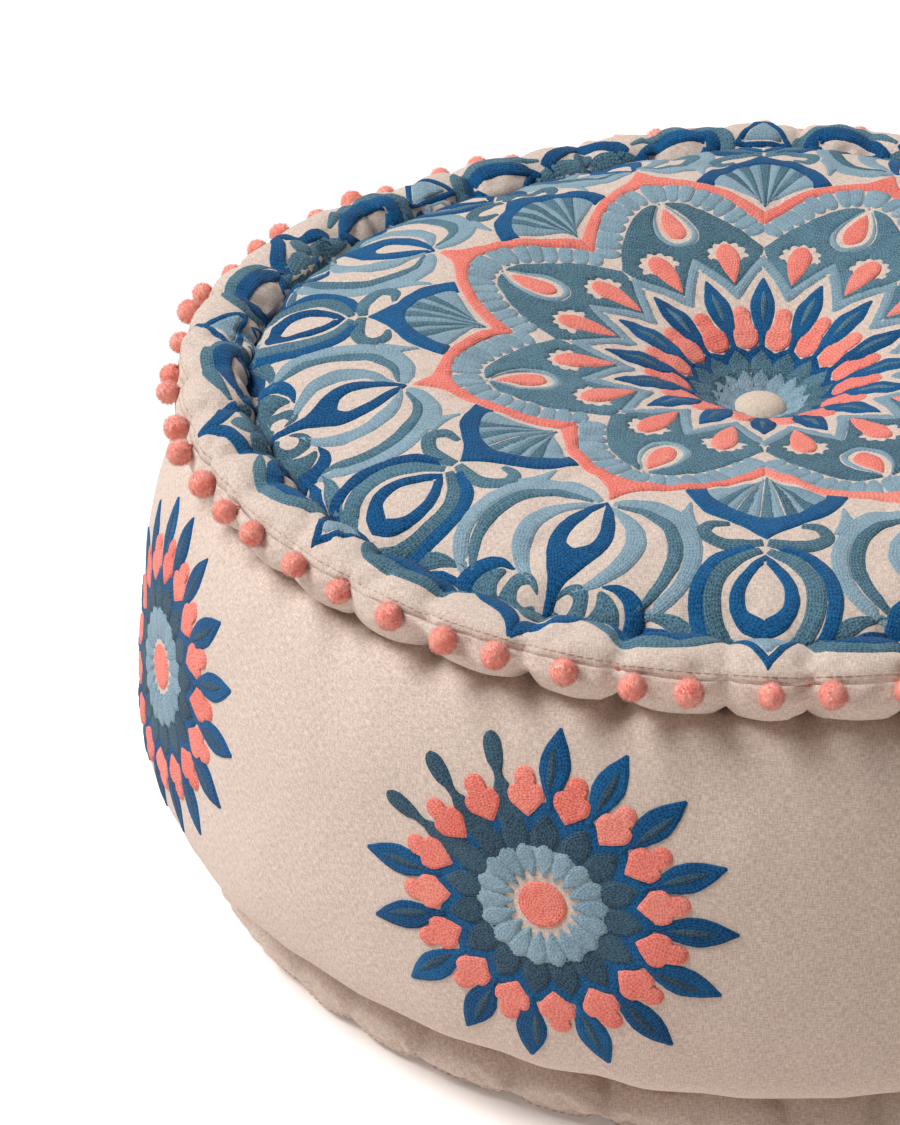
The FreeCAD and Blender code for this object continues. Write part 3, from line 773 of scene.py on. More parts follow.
@dataclass(frozen=True)
class ClothRelax:
    """Settles the form as linen under the pressure of its filling, held at seams, tufts and stitches."""

    thinning: int = 2
    frames: int = 12
    pressure: float = 3.0
    slack: float = -0.035
    hold: float = 0.12
    side_hold: float = 0.15
    pit_hold: float = 0.3
    crease_hold: float = 0.45
    seam_hold: float = 0.9
    under_hold: float = 0.8
    pit_reach: float = 125 * MM
    calming: int = 14
    furthest: float = 5 * MM

    def apply(self, form: CushionForm) -> None:
        """Move the form's grid to its settled shape.

        Args:
            form: The form, whose points are changed.
        """
        coarse = form.points[:: self.thinning, :: self.thinning]
        rows, columns = coarse.shape[:2]
        start = coarse.reshape(-1, 3)
        bag = mesh_object("settling_bag", start, ring_faces(rows, columns))
        held = bag.vertex_groups.new(name="held")
        weights = self.weights(form, rows, columns)
        for level in np.unique(weights):
            held.add([int(v) for v in np.flatnonzero(weights == level)], float(level), "REPLACE")
        cloth = bag.modifiers.new("linen", "CLOTH")
        for name, value in {
            "quality": 4, "mass": 0.3, "tension_stiffness": 18, "compression_stiffness": 18,
            "shear_stiffness": 6, "bending_stiffness": 0.35, "vertex_group_mass": held.name,
            "pin_stiffness": 1.0, "shrink_min": self.slack, "use_pressure": True,
            "uniform_pressure_force": self.pressure,
        }.items():
            setattr(cloth.settings, name, value)
        cloth.settings.effector_weights.gravity = 0.0
        cloth.collision_settings.use_collision = False
        cloth.point_cache.frame_end = self.frames
        scene = bpy.context.scene
        for step in range(1, self.frames + 1):
            scene.frame_set(step)
        settled = bag.evaluated_get(bpy.context.evaluated_depsgraph_get())
        end = np.empty(len(start) * 3, np.float32)
        settled.data.vertices.foreach_get("co", end)
        shift = end.reshape(-1, 3) - start
        length = np.linalg.norm(shift, axis=1)[:, None]
        log.info("cloth moved %.1f mm at most, %.1f mm on average", length.max() / MM, length.mean() / MM)
        shift *= np.minimum(1, self.furthest / np.maximum(length, 1e-9))
        shift = self.calmed(form, shift.reshape(rows, columns, 3))
        bpy.data.objects.remove(bag)
        scene.frame_set(1)
        form.points = form.points + refined(shift, form.points.shape[0])
        form.points[..., 2] = np.maximum(form.points[..., 2], FLOOR_GAP)

    def coarse_marks(self, form: CushionForm) -> dict[str, int]:
        """Rows of the bag at the form's marks."""
        return {mark: index // self.thinning for mark, index in form.marks.items()}

    def calmed(self, form: CushionForm, shift: Array) -> Array:
        """Settling without small buckles on the side, and even round the pit."""
        turn = form.theta[:: self.thinning]
        out = form.section[:: self.thinning, 0]
        rows = np.arange(len(shift))
        row = self.coarse_marks(form)
        ray = np.stack([np.cos(turn), np.sin(turn), np.zeros(len(turn))], 1)
        outward = (shift * ray).sum(2).mean(1)[:, None, None] * ray
        outward[..., 2] += shift[..., 2].mean(1)[:, None]
        pit = np.clip((self.pit_reach - out) / (35 * MM), 0, 1) * (rows < row["crease"]) * 0.9
        smooth = shift.copy()
        for _ in range(self.calming):
            above, below = np.vstack([smooth[:1], smooth[:-1]]), np.vstack([smooth[1:], smooth[-1:]])
            smooth = (smooth + np.roll(smooth, 1, 1) + np.roll(smooth, -1, 1) + above + below) / 5
        edge = np.minimum(rows - row["lower_crease"], row["low_roll_crease"] - rows)
        side = np.clip(edge / 4, 0, 1)
        dome = np.clip((row["crease"] - rows) / 6, 0, 1) * 0.6
        shift = shift + (smooth - shift) * np.maximum(side, dome)[:, None, None]
        return shift + (outward - shift) * pit[:, None, None]

    def weights(self, form: CushionForm, rows: int, columns: int) -> Array:
        """How firmly each point of the bag is held, from 0 to 1."""
        weights = np.full((rows, columns), self.hold)
        row = self.coarse_marks(form)
        places = np.round(form.pinch_places / TURN * columns).astype(int) % columns
        for mark in ("crease", "lower_crease", "low_roll_crease", "floor_crease"):
            weights[row[mark], :] = self.crease_hold
            weights[row[mark], places] = 1.0
        for mark in ("seam", "low_seam"):
            weights[row[mark], :] = self.seam_hold
        out = form.section[:: self.thinning, 0]
        weights[(out < self.pit_reach) & (np.arange(rows) < row["crease"])] = self.pit_hold
        weights[row["lower_crease"] + 1 : row["low_roll_crease"]] = self.side_hold
        weights[:2] = weights[-2:] = 1.0
        weights[row["floor_crease"] + 2 :] = self.under_hold
        return weights.ravel()


def refined(grid: Array, rows: int) -> Array:
    """Grid of half the spacing that passes through the given one, closed round its second axis."""
    around = np.empty((grid.shape[0], grid.shape[1] * 2, 3))
    around[:, ::2] = grid
    ahead, beyond, behind = np.roll(grid, -1, 1), np.roll(grid, -2, 1), np.roll(grid, 1, 1)
    around[:, 1::2] = (9 * (grid + ahead) - behind - beyond) / 16
    padded = np.vstack([2 * around[:1] - around[1:2], around, 2 * around[-1:] - around[-2:-1]])
    fine = np.empty((grid.shape[0] * 2 - 1, around.shape[1], 3))
    fine[::2] = around
    fine[1::2] = (9 * (padded[1:-2] + padded[2:-1]) - padded[:-3] - padded[3:]) / 16
    return fine[:rows]


def ring_faces(rows: int, columns: int) -> Array:
    """Four-sided faces of a grid that closes round its columns, facing outwards."""
    i, j = np.meshgrid(np.arange(rows - 1), np.arange(columns), indexing="ij")
    k = (j + 1) % columns
    corners = (i, j), (i + 1, j), (i + 1, k), (i, k)
    return np.stack([row * columns + column for row, column in corners], -1).reshape(-1, 4)


# ---------------------------------------------------------------- embroidery
# In millimetres: how far outlines and gaps are grown, where the shoulder of a patch stands inside its
# edge, how near the edge its inner points may come, how they stray, and the heights of edge and filling.
OVERLAP, GAP_OVERLAP = 0.3, -0.25
SHOULDER = 0.75
SHOULDER_CLEARANCE, FILLING_CLEARANCE = 0.6, 1.5
FILLING_JITTER = 0.25
SUNK_EDGE = -0.45
RELIEF = 0.04


class Axes(Enum):
    """Sets of axes on which a motif of the top is repeated, as first angle and spacing in degrees."""

    TIPS = (-112.5, 45.0)
    VALLEYS = (-90.0, 45.0)
    LEAVES = (-90.0, 22.5)
    SEEDS = (-78.75, 22.5)
    ONCE = (90.0, 360.0)

    @property
    def angles(self) -> Array:
        """Every axis of the set, in degrees."""
        first, spacing = self.value
        return first + np.arange(0, 360, spacing)


@dataclass(frozen=True)
class Motif:
    """A patch of one wool: outlines that it fills, gaps that it leaves and the axes that it is worked on."""

    thread: Thread
    outlines: tuple[Array, ...]
    axes: Axes
    gaps: tuple[Array, ...] = ()
    lift: float = 0.9
    both_sides: bool = False
    grid: float = 3.0


def within(points: Array, loops: Iterable[Array]) -> Array:
    """Whether each point lies inside any of some closed loops."""
    found = np.zeros(len(points), bool)
    for loop in loops:
        ahead = np.roll(loop, -1, 0)
        rise = ahead[:, 1] - loop[:, 1]
        rise = np.where(np.abs(rise) < 1e-12, 1e-12, rise)
        x, y = points[:, :1], points[:, 1:]
        spans = (loop[:, 1] > y) != (ahead[:, 1] > y)
        crossing = (ahead[:, 0] - loop[:, 0]) * (y - loop[:, 1]) / rise + loop[:, 0]
        found |= (spans & (x < crossing)).sum(1) % 2 == 1
    return found


def nearest_edge(points: Array, starts: Array, ends: Array) -> tuple[Array, Array]:
    """Distance to the nearest of some straight edges, and that edge's number, for each point."""
    distance, number = np.empty(len(points)), np.empty(len(points), int)
    along = ends - starts
    square = np.maximum((along**2).sum(1), 1e-12)
    for first in range(0, len(points), 2000):
        part = points[first : first + 2000, None, :] - starts[None]
        share = np.clip((part * along[None]).sum(2) / square, 0, 1)
        away = np.linalg.norm(part - share[..., None] * along[None], axis=2)
        number[first : first + 2000] = away.argmin(1)
        distance[first : first + 2000] = away.min(1)
    return distance, number


@dataclass
class Patch:
    """Flat mesh of a motif in its drawing, in millimetres, ready to be laid on the cloth."""

    points: Array
    faces: Array
    uv: Array
    inner: Array

    @classmethod
    def of(cls, motif: Motif, draw: np.random.Generator) -> "Patch":
        """Mesh a motif: its edge sunk into the cloth, a shoulder just inside and an even filling.

        Args:
            motif: What to fill.
            draw: Source of the hand's unsteadiness.

        Returns:
            The patch, with texture rows that follow its edge.
        """
        outlines = [unsteady(grown(loop, OVERLAP), draw) for loop in motif.outlines]
        gaps = [unsteady(grown(loop, GAP_OVERLAP), draw) for loop in motif.gaps]
        loops = outlines + gaps
        starts = np.vstack(loops)
        ends = np.vstack([np.roll(loop, -1, 0) for loop in loops])
        offsets = np.cumsum([0] + [len(loop) for loop in loops])
        edges = [(a + i, a + (i + 1) % n) for a, n in zip(offsets, map(len, loops)) for i in range(n)]
        side = unit((ends - starts)[:, ::-1] * np.array([-1, 1]))
        middle = (starts + ends) / 2
        shoulders = np.vstack([middle + side * SHOULDER, middle - side * SHOULDER])
        low, high, pitch = starts.min(0), starts.max(0), motif.grid
        spans = (np.arange(low[k], high[k], pitch * size) for k, size in enumerate((1.0, 0.87)))
        grid_x, grid_y = np.meshgrid(*spans)
        grid_x = grid_x + (np.arange(len(grid_x)) % 2)[:, None] * pitch / 2
        filling = np.stack([grid_x.ravel(), grid_y.ravel()], 1)
        filling = filling + draw.uniform(-FILLING_JITTER, FILLING_JITTER, filling.shape)
        kept = [starts]
        for candidates, clearance in ((shoulders, SHOULDER_CLEARANCE), (filling, FILLING_CLEARANCE)):
            candidates = candidates[within(candidates, outlines) & ~within(candidates, gaps)]
            if len(candidates):
                kept.append(candidates[nearest_edge(candidates, starts, ends)[0] > clearance])
        made = geometry.delaunay_2d_cdt([Vector(p) for p in np.vstack(kept)], edges, [], 0, 1e-4, False)
        points = np.array([tuple(p) for p in made[0]])
        faces = np.array([f for f in made[2] if len(f) == 3])
        centres = points[faces].mean(1)
        faces = faces[within(centres, outlines) & ~within(centres, gaps)]
        used, faces = np.unique(faces, return_inverse=True)
        points, faces = points[used], faces.reshape(-1, 3)
        sides = np.sort(np.vstack([faces[:, [0, 1]], faces[:, [1, 2]], faces[:, [2, 0]]]), 1)
        pairs, count = np.unique(sides, axis=0, return_counts=True)
        inner = np.ones(len(points))
        inner[pairs[count == 1].ravel()] = 0.0
        number = nearest_edge(points[faces].mean(1), starts, ends)[1]
        length = np.linalg.norm(ends - starts, axis=1)
        way = unit(ends - starts)[number][:, None]
        run = np.concatenate([[0], np.cumsum(length)[:-1]])[number]
        from_start = points[faces] - starts[number][:, None]
        along = (from_start * way).sum(2) + run[:, None]
        across = np.abs(from_start[..., 0] * way[..., 1] - from_start[..., 1] * way[..., 0])
        return cls(points, faces, np.stack([along, across], -1).reshape(-1, 2) * MM, inner)


def grown(loop: Array, reach: float) -> Array:
    """Loop moved outwards by a distance, or inwards if that is negative."""
    ahead, behind = np.roll(loop, -1, 0), np.roll(loop, 1, 0)
    way = unit(ahead - behind)
    area = (loop[:, 0] * ahead[:, 1] - ahead[:, 0] * loop[:, 1]).sum()
    return loop + math.copysign(reach, area) * np.stack([way[:, 1], -way[:, 0]], 1)


def unsteady(loop: Array, draw: np.random.Generator, reach: float = 0.1) -> Array:
    """Loop with its points moved a little, as stitches made by hand."""
    shift = draw.normal(0, reach, loop.shape)
    return loop + (shift + np.roll(shift, 1, 0)) / 2


@dataclass
class Embroidery:
    """Patches of wool laid on the cloth, gathered into one piece for each colour."""

    prefix: str
    seed: int
    draw: np.random.Generator = field(init=False)
    worked: dict[Thread, list[tuple[Array, ...]]] = field(init=False)

    def __post_init__(self) -> None:
        """Start with nothing worked."""
        self.draw = np.random.default_rng(self.seed)
        self.worked = {thread: [] for thread in Thread}

    def lay(self, patch: Patch, motif: Motif, flip: bool, place: Callable[[Array, Array], Array]) -> None:
        """Put one copy of a patch on the cloth.

        Args:
            patch: The meshed motif.
            motif: Its thread and lift.
            flip: Whether the copy is the mirror image.
            place: Gives the points in space from drawing points in millimetres and lifts in metres.
        """
        points = patch.points * np.array([-1.0 if flip else 1.0, 1.0])
        relief = self.draw.normal(0, RELIEF, len(points))
        lift = np.where(patch.inner > 0, motif.lift * 0.8 + relief, SUNK_EDGE) * MM
        faces = patch.faces[:, ::-1] if flip else patch.faces
        uv = patch.uv.reshape(-1, 3, 2)[:, ::-1].reshape(-1, 2) if flip else patch.uv
        tone = np.full(len(points), self.draw.uniform(0, 1))
        self.worked[motif.thread].append((place(points, lift), faces, uv, tone))

    def gather(self, node: str) -> list[Piece]:
        """Make the pieces, one for each colour that was used.

        Args:
            node: First word of the CAD nodes that the pieces stand for.

        Returns:
            The pieces.
        """
        pieces = []
        for thread, copies in self.worked.items():
            starts = np.cumsum([0] + [len(c[0]) for c in copies])
            points, uv = (np.vstack([c[k] for c in copies]) for k in (0, 2))
            faces = np.vstack([c[1] + s for c, s in zip(copies, starts)])
            piece = mesh_object(f"{self.prefix}_{thread.word}_wool", points, faces, uv)
            add_attribute(piece, "tone", np.concatenate([c[3] for c in copies]))
            dress(piece, thread.value, f"{thread.word}_thread", f"{node}_{thread.word}_thread")
            pieces.append(piece)
        return pieces


# Materials made so far, by the names of their finishes.
made_finishes: dict[str, Material] = {}


def finish_of(finish: object) -> Material:
    """Material of a finish, built once."""
    if finish.name not in made_finishes:
        made_finishes[finish.name] = finish.build()
    return made_finishes[finish.name]


def dress(piece: Piece, finish: object, slot: str, *replaced: str) -> None:
    """Give a piece its finish and body, and hide the CAD nodes that it stands for."""
    piece.data.materials.clear()
    piece.data.materials.append(finish_of(finish))
    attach(piece, BODY)
    if replaced:
        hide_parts(*replaced)
    log.info("%s: %d faces", piece.name, len(piece.data.polygons))


@dataclass
class Mandala:
    """The eight-fold drawing on the top, in millimetres across and out along each axis."""

    form: CushionForm
    leaf_tip: float = 83.0
    seed_centre: float = 100.0
    drop_centre: float = 124.0
    lumps: int = 9
    unsteadiness: float = 0.12

    def zigzag(self, notch: float, tip: float, sharp: float = 1.15) -> Array:
        """Ring of sixteen points, out to tip on the leaf axes and in to notch between them."""
        return polar_loop(lambda turn: notch + (tip - notch) * (1 - off_axis(turn)) ** sharp, tip)

    def centre(self) -> list[Motif]:
        """Rosette round the button, with its petals, leaves and keyholes."""
        navy_edge = polar_loop(lambda turn: 41.0 - 4.5 * off_axis(turn) ** 0.8, 41)
        navy_back = polar_loop(lambda turn: 31.0 - 3.0 * off_axis(turn) ** 1.2, 31)
        keyhole = (disc(0, 44.3, 7.0), stroke([(0, 46), (0, 57.5)], (9.5, 8.2)), disc(0, 57.3, 4.4))
        return [
            Motif(Thread.NAVY, (navy_edge,), Axes.ONCE, (navy_back,), 0.6),
            Motif(Thread.SLATE, (disc(0, 0, 31.5),), Axes.ONCE, (disc(0, 0, 17.0),), 0.5),
            Motif(Thread.SLATE, (leaf(20.5, 38.0, 5.8, 0.52, 7.8),), Axes.LEAVES, (), 1.0),
            Motif(Thread.PALE, (disc(0, 0, 21.0),), Axes.ONCE, (disc(0, 0, 12.0),), 0.8),
            Motif(Thread.PALE, (leaf(12.0, 27.0, 4.4, 0.6, 4.6),), Axes.LEAVES, (), 1.2),
            Motif(Thread.NAVY, (leaf(38.0, self.leaf_tip, 6.6, 0.52, 3.4),), Axes.LEAVES),
            Motif(Thread.SLATE, (leaf(50, 75, 1.8),), Axes.LEAVES, (), 1.3),
            Motif(Thread.CORAL, keyhole, Axes.SEEDS, (), 1.1),
            Motif(Thread.PALE, (self.zigzag(75.5, 99.5),), Axes.ONCE, (self.zigzag(64.5, 88.5),), 0.8),
        ]

    def halo(self) -> Array:
        """Bare spiky edge left round the outer side of a seed, about the seed's axis."""
        turn = np.linspace(-math.pi, math.pi, 72, endpoint=False)
        reach = np.where(np.abs(turn) < 1.9, 9.8 + 1.1 * np.cos(turn * 11), 7.6)
        return np.stack([reach * np.sin(turn), self.seed_centre + reach * np.cos(turn)], 1)

    def lobes(self) -> list[Motif]:
        """Slate lobes with their seeds and large drops."""
        half = [(40.6, 98.0), (39, 102), (36, 112), (30, 124), (20, 138), (10, 146)]
        edge = smooth_path([(-u, v) for u, v in half] + [(0, 148)] + half[::-1])
        fan = np.linspace(22.5, -22.5, 60)
        reach = 75.2 + 24.0 * (1 - off_axis(fan)) ** 1.15
        inner = np.stack([reach * np.sin(np.radians(fan)), reach * np.cos(np.radians(fan))], 1)
        lobe = np.vstack([edge, inner[1:-1]])
        outline = drop(149.0, self.drop_centre, 13.6)
        halos = tuple(turned(self.halo(), side * 11.25) for side in (-1, 1))
        return [
            Motif(Thread.SLATE, (lobe,), Axes.TIPS, halos + (drop(148.6, self.drop_centre, 13.4),), 0.9),
            Motif(Thread.CORAL, (drop(76.5, self.seed_centre + 0.5, 7.3),), Axes.SEEDS, (), 1.5),
            Motif(Thread.PALE, (outline,), Axes.TIPS, (drop(147.2, self.drop_centre, 9.8),), 0.9),
            Motif(Thread.CORAL, (drop(143.5, self.drop_centre, 6.9),), Axes.TIPS, (), 1.1),
        ]

    def rope(self) -> list[Motif]:
        """Row of pale lumps outside the lobes, with bare wedges between their inner ends."""
        middle = smooth_path(
            [(-1.5, 157.6), (5, 157.2), (14, 154.0), (24, 146.5), (32.5, 134.5), (39, 121.5), (43.6, 110.8)],
            0.5,
        )
        run = run_of(middle)
        way = unit(np.gradient(middle, axis=0))
        half = run[-1] / self.lumps / 2
        turn = ring_turn(36)
        up = np.sin(turn) > 0
        wide = half * 1.06 * np.sign(np.cos(turn)) * np.abs(np.cos(turn)) ** np.where(up, 0.34, 0.95)
        bulge = np.sign(np.sin(turn)) * np.abs(np.sin(turn)) ** np.where(up, 0.5, 0.9)
        lumps = []
        for place in (np.arange(self.lumps) + 0.5) * run[-1] / self.lumps:
            k = int(np.searchsorted(run, place))
            tall = 8.4 - 1.6 * place / run[-1]
            across = np.array([-way[k, 1], way[k, 0]])
            lumps.append(middle[k] + wide[:, None] * way[k] + (tall * bulge)[:, None] * across)
        return [Motif(Thread.PALE, (lump,), Axes.TIPS, (), 0.8, True) for lump in lumps]

    def ogee(self) -> list[Motif]:
        """Coral band of eight pointed arches."""
        outer = [(52.7, 127.2), (45, 140), (38, 150), (28, 160), (15, 168.3), (6, 175.5), (0, 186)]
        inner = [(48.6, 117.3), (43, 130), (35, 144), (25, 154), (15, 160.5), (0, 165)]
        return [Motif(Thread.CORAL, (arch(outer, inner),), Axes.TIPS, (), 1.15)]

    def fan(self) -> list[Motif]:
        """Navy cup in each valley, filled with rays."""
        outer = [(37.5, 160), (33, 170), (28, 178), (20, 184), (12, 189), (5, 195.5), (0, 201)]
        inner = [(27, 157), (26.5, 162), (22, 169.5), (15, 176.5), (8, 180.5), (0, 182)]
        root = 141.0
        rims = [(-3.2, 184), (3.2, 184), (9, 183), (15, 179.5), (19, 177), (23.5, 171.5), (29, 160)]
        rays = [Motif(Thread.NAVY, (arch(outer, inner),), Axes.VALLEYS, (), 1.1)]
        for number, (first, last) in enumerate(zip(rims[:-1], rims[1:])):
            thread = Thread.PALE if number % 2 else Thread.SLATE
            foot, end = (0.25 + 0.5 * number, root + number), (0.75 + 0.5 * number, root + number + 0.6)
            if number == 0:
                foot, end = (-0.4, root), (0.4, root)
            ray = straight([foot, first, last, end, foot])
            rays.append(Motif(thread, (grown(ray, 0.25),), Axes.VALLEYS, (), 0.8, number > 0))
        return rays

    def valley_eye(self) -> list[Motif]:
        """Scrolls, nested arches and teardrop between the fan and the rolled edge."""
        scroll = stroke(
            [(1, 203.5), (10, 205), (20, 203.5), (27.5, 197), (25, 190), (16, 189.0)],
            (5, 7.5, 7.5, 7, 6.5, 3),
        )
        navy_arch = stroke(
            [(6, 206.5), (21, 214), (29, 228), (30, 243), (25, 256), (9, 265)], (4.5, 6.5, 7, 7, 6.5, 5)
        )
        slate_arch = stroke(
            [(1.5, 209), (14, 216.5), (22, 228), (22.4, 243), (17, 254.5), (7, 260.5)], (4, 7.5, 9, 9, 8, 5)
        )
        ring = symmetric([(0, 212.0), (6, 217.5), (14.0, 230), (15.2, 241), (9.5, 251), (0, 255)])
        hole = symmetric([(0, 218), (4, 224), (8, 232.5), (7, 241.5), (0, 246)])
        neck = straight([(0, 257), (9.5, 264), (6, 268.5), (-6, 268.5), (-9.5, 264), (0, 257)])
        gable = straight([(-11.5, 271.5), (11.5, 271.5), (0, 287), (-11.5, 271.5)])
        border = straight([(-18, 268.5), (18, 268.5), (0, 294.5), (-18, 268.5)])
        return [
            Motif(Thread.SLATE, (scroll,), Axes.VALLEYS, (), 0.95, True),
            Motif(Thread.NAVY, (navy_arch,), Axes.VALLEYS, (), 1.0, True),
            Motif(Thread.SLATE, (slate_arch,), Axes.VALLEYS, (), 0.9, True),
            Motif(Thread.NAVY, (ring,), Axes.VALLEYS, (hole,), 1.05),
            Motif(Thread.PALE, (neck,), Axes.VALLEYS, (), 0.9),
            Motif(Thread.PALE, (gable,), Axes.VALLEYS, (), 0.8, False, 2.2),
            Motif(Thread.NAVY, (border,), Axes.VALLEYS, (gable,), 1.0, False, 2.2),
        ]

    def tip_flower(self) -> list[Motif]:
        """Crescents, flame and leaves outside each point of the coral band."""
        outer = [
            (2.5, 187), (10, 181.5), (22, 178.5), (33, 181), (42, 188), (52, 200), (57.5, 215), (57, 231),
            (51, 243), (40.5, 250.5),
        ]
        back = [(46, 240), (50, 228), (49, 215), (44, 203), (35, 194), (22, 188.5), (10, 189.0), (2.5, 191)]
        crescent = np.vstack([smooth_path(outer), smooth_path(back)[:-1]])
        spur = stroke([(43, 191), (37, 182), (34, 172)], (8, 6, 1.5))
        stripe = stroke(
            [(6, 190.5), (20, 189), (33, 195), (42, 206), (46, 219), (45, 234), (39, 248)],
            (1.5, 5, 6.5, 7, 6.6, 5.5, 1),
        )
        petal = stroke(
            [(2, 192), (10, 196), (20.5, 204), (26, 216), (24.5, 228), (18, 239), (9, 246)],
            (1.0, 5.5, 9, 10, 9, 6, 1.5),
        )
        flame = smooth_path(
            [(0, 188), (5, 194), (11, 204), (14.5, 215), (13.2, 225), (8.4, 235), (4, 244), (2.3, 253),
             (2.0, 268)]
        )
        flame = np.vstack([flame, mirrored(flame)[:-1]])
        hole = symmetric([(0, 192), (2.8, 201), (6.2, 213), (5.0, 220.5), (0, 224)])
        return [
            Motif(Thread.PALE, (crescent, spur), Axes.TIPS, (), 0.9, True),
            Motif(Thread.SLATE, (stripe,), Axes.TIPS, (), 1.15, True),
            Motif(Thread.PALE, (petal,), Axes.TIPS, (), 0.9, True),
            Motif(Thread.NAVY, (flame,), Axes.TIPS, (hole,), 1.1),
        ]

    def tip_rim(self) -> list[Motif]:
        """Leaves, crown and open rings where the top turns over its rolled edge."""
        acanthus = smooth_path(
            [
                (1.5, 268), (2.2, 258), (4.5, 254), (9, 255.2), (13, 252.6), (13, 248.2), (9.5, 246.8),
                (4.2, 250.2), (6.3, 245), (12, 241.4), (18, 243), (20.6, 248.5), (21.6, 253.6), (24, 249),
                (23, 242.2), (30, 243.6), (36.5, 250), (37, 260), (29, 268), (17, 272.5), (6, 273),
            ],
            closed=True,
        )
        border = stroke(
            [(21.5, 240.3), (30, 239.5), (38, 243.5), (41.8, 251.5), (39, 260.5), (32, 267)],
            (0.8, 5.5, 8.5, 9.5, 8, 3),
        )
        crown = stroke([(25, 269), (20, 275.5), (11, 280.5), (4, 285.5), (0, 295)], (8.5, 8.5, 7.5, 7, 2))
        dot = smooth_path(
            [(0, 269), (6, 271.5), (5.5, 276.5), (0, 280.5), (-5.5, 276.5), (-6, 271.5)], closed=True
        )
        open_ring = stroke(
            [(43, 250.5), (58, 251), (70, 254.5), (76.5, 260.5), (72, 267), (58, 270.5), (42, 269.5),
             (29, 266)],
            (1, 7.5, 9.5, 10, 9.5, 8.5, 7, 2),
        )
        outer_ring = stroke(
            [(43, 244.5), (60, 243.5), (76, 247.5), (84.5, 257.5), (80.5, 269.5), (65, 277), (46, 277.5),
             (29, 273.5)],
            (1, 7, 8, 8.5, 8, 7.5, 7, 2),
        )
        return [
            Motif(Thread.SLATE, (acanthus,), Axes.TIPS, (), 0.9, True),
            Motif(Thread.NAVY, (border,), Axes.TIPS, (), 1.2, True),
            Motif(Thread.NAVY, (crown,), Axes.TIPS, (), 0.95, True),
            Motif(Thread.SLATE, (dot,), Axes.TIPS, (), 0.9, False, 2.2),
            Motif(Thread.NAVY, (open_ring,), Axes.TIPS, (), 1.1, True),
            Motif(Thread.SLATE, (outer_ring,), Axes.TIPS, (), 0.9, True),
        ]

    def build(self) -> list[Piece]:
        """Work every motif on all its axes and return the pieces."""
        drawing = self.centre() + self.lobes() + self.rope() + self.ogee() + self.fan()
        drawing += self.valley_eye() + self.tip_flower() + self.tip_rim()
        work = Embroidery("top", 7)
        draw = work.draw
        for motif in drawing:
            patch = Patch.of(motif, draw)
            for axis in motif.axes.angles:
                swing, shift = draw.normal(0, self.unsteadiness, 2) * (motif.axes is not Axes.ONCE)
                a = math.radians(axis + swing)

                def place(points: Array, lift: Array) -> Array:
                    """Drawing points about this axis, laid on the top."""
                    u, out = points[:, 0], points[:, 1] + shift
                    x = (out * math.cos(a) + u * math.sin(a)) * MM
                    y = (out * math.sin(a) - u * math.cos(a)) * MM
                    return self.form.on_top(x, y, lift)

                for flip in (False, True) if motif.both_sides else (False,):
                    work.lay(patch, motif, flip, place)
        return work.gather("mandala")


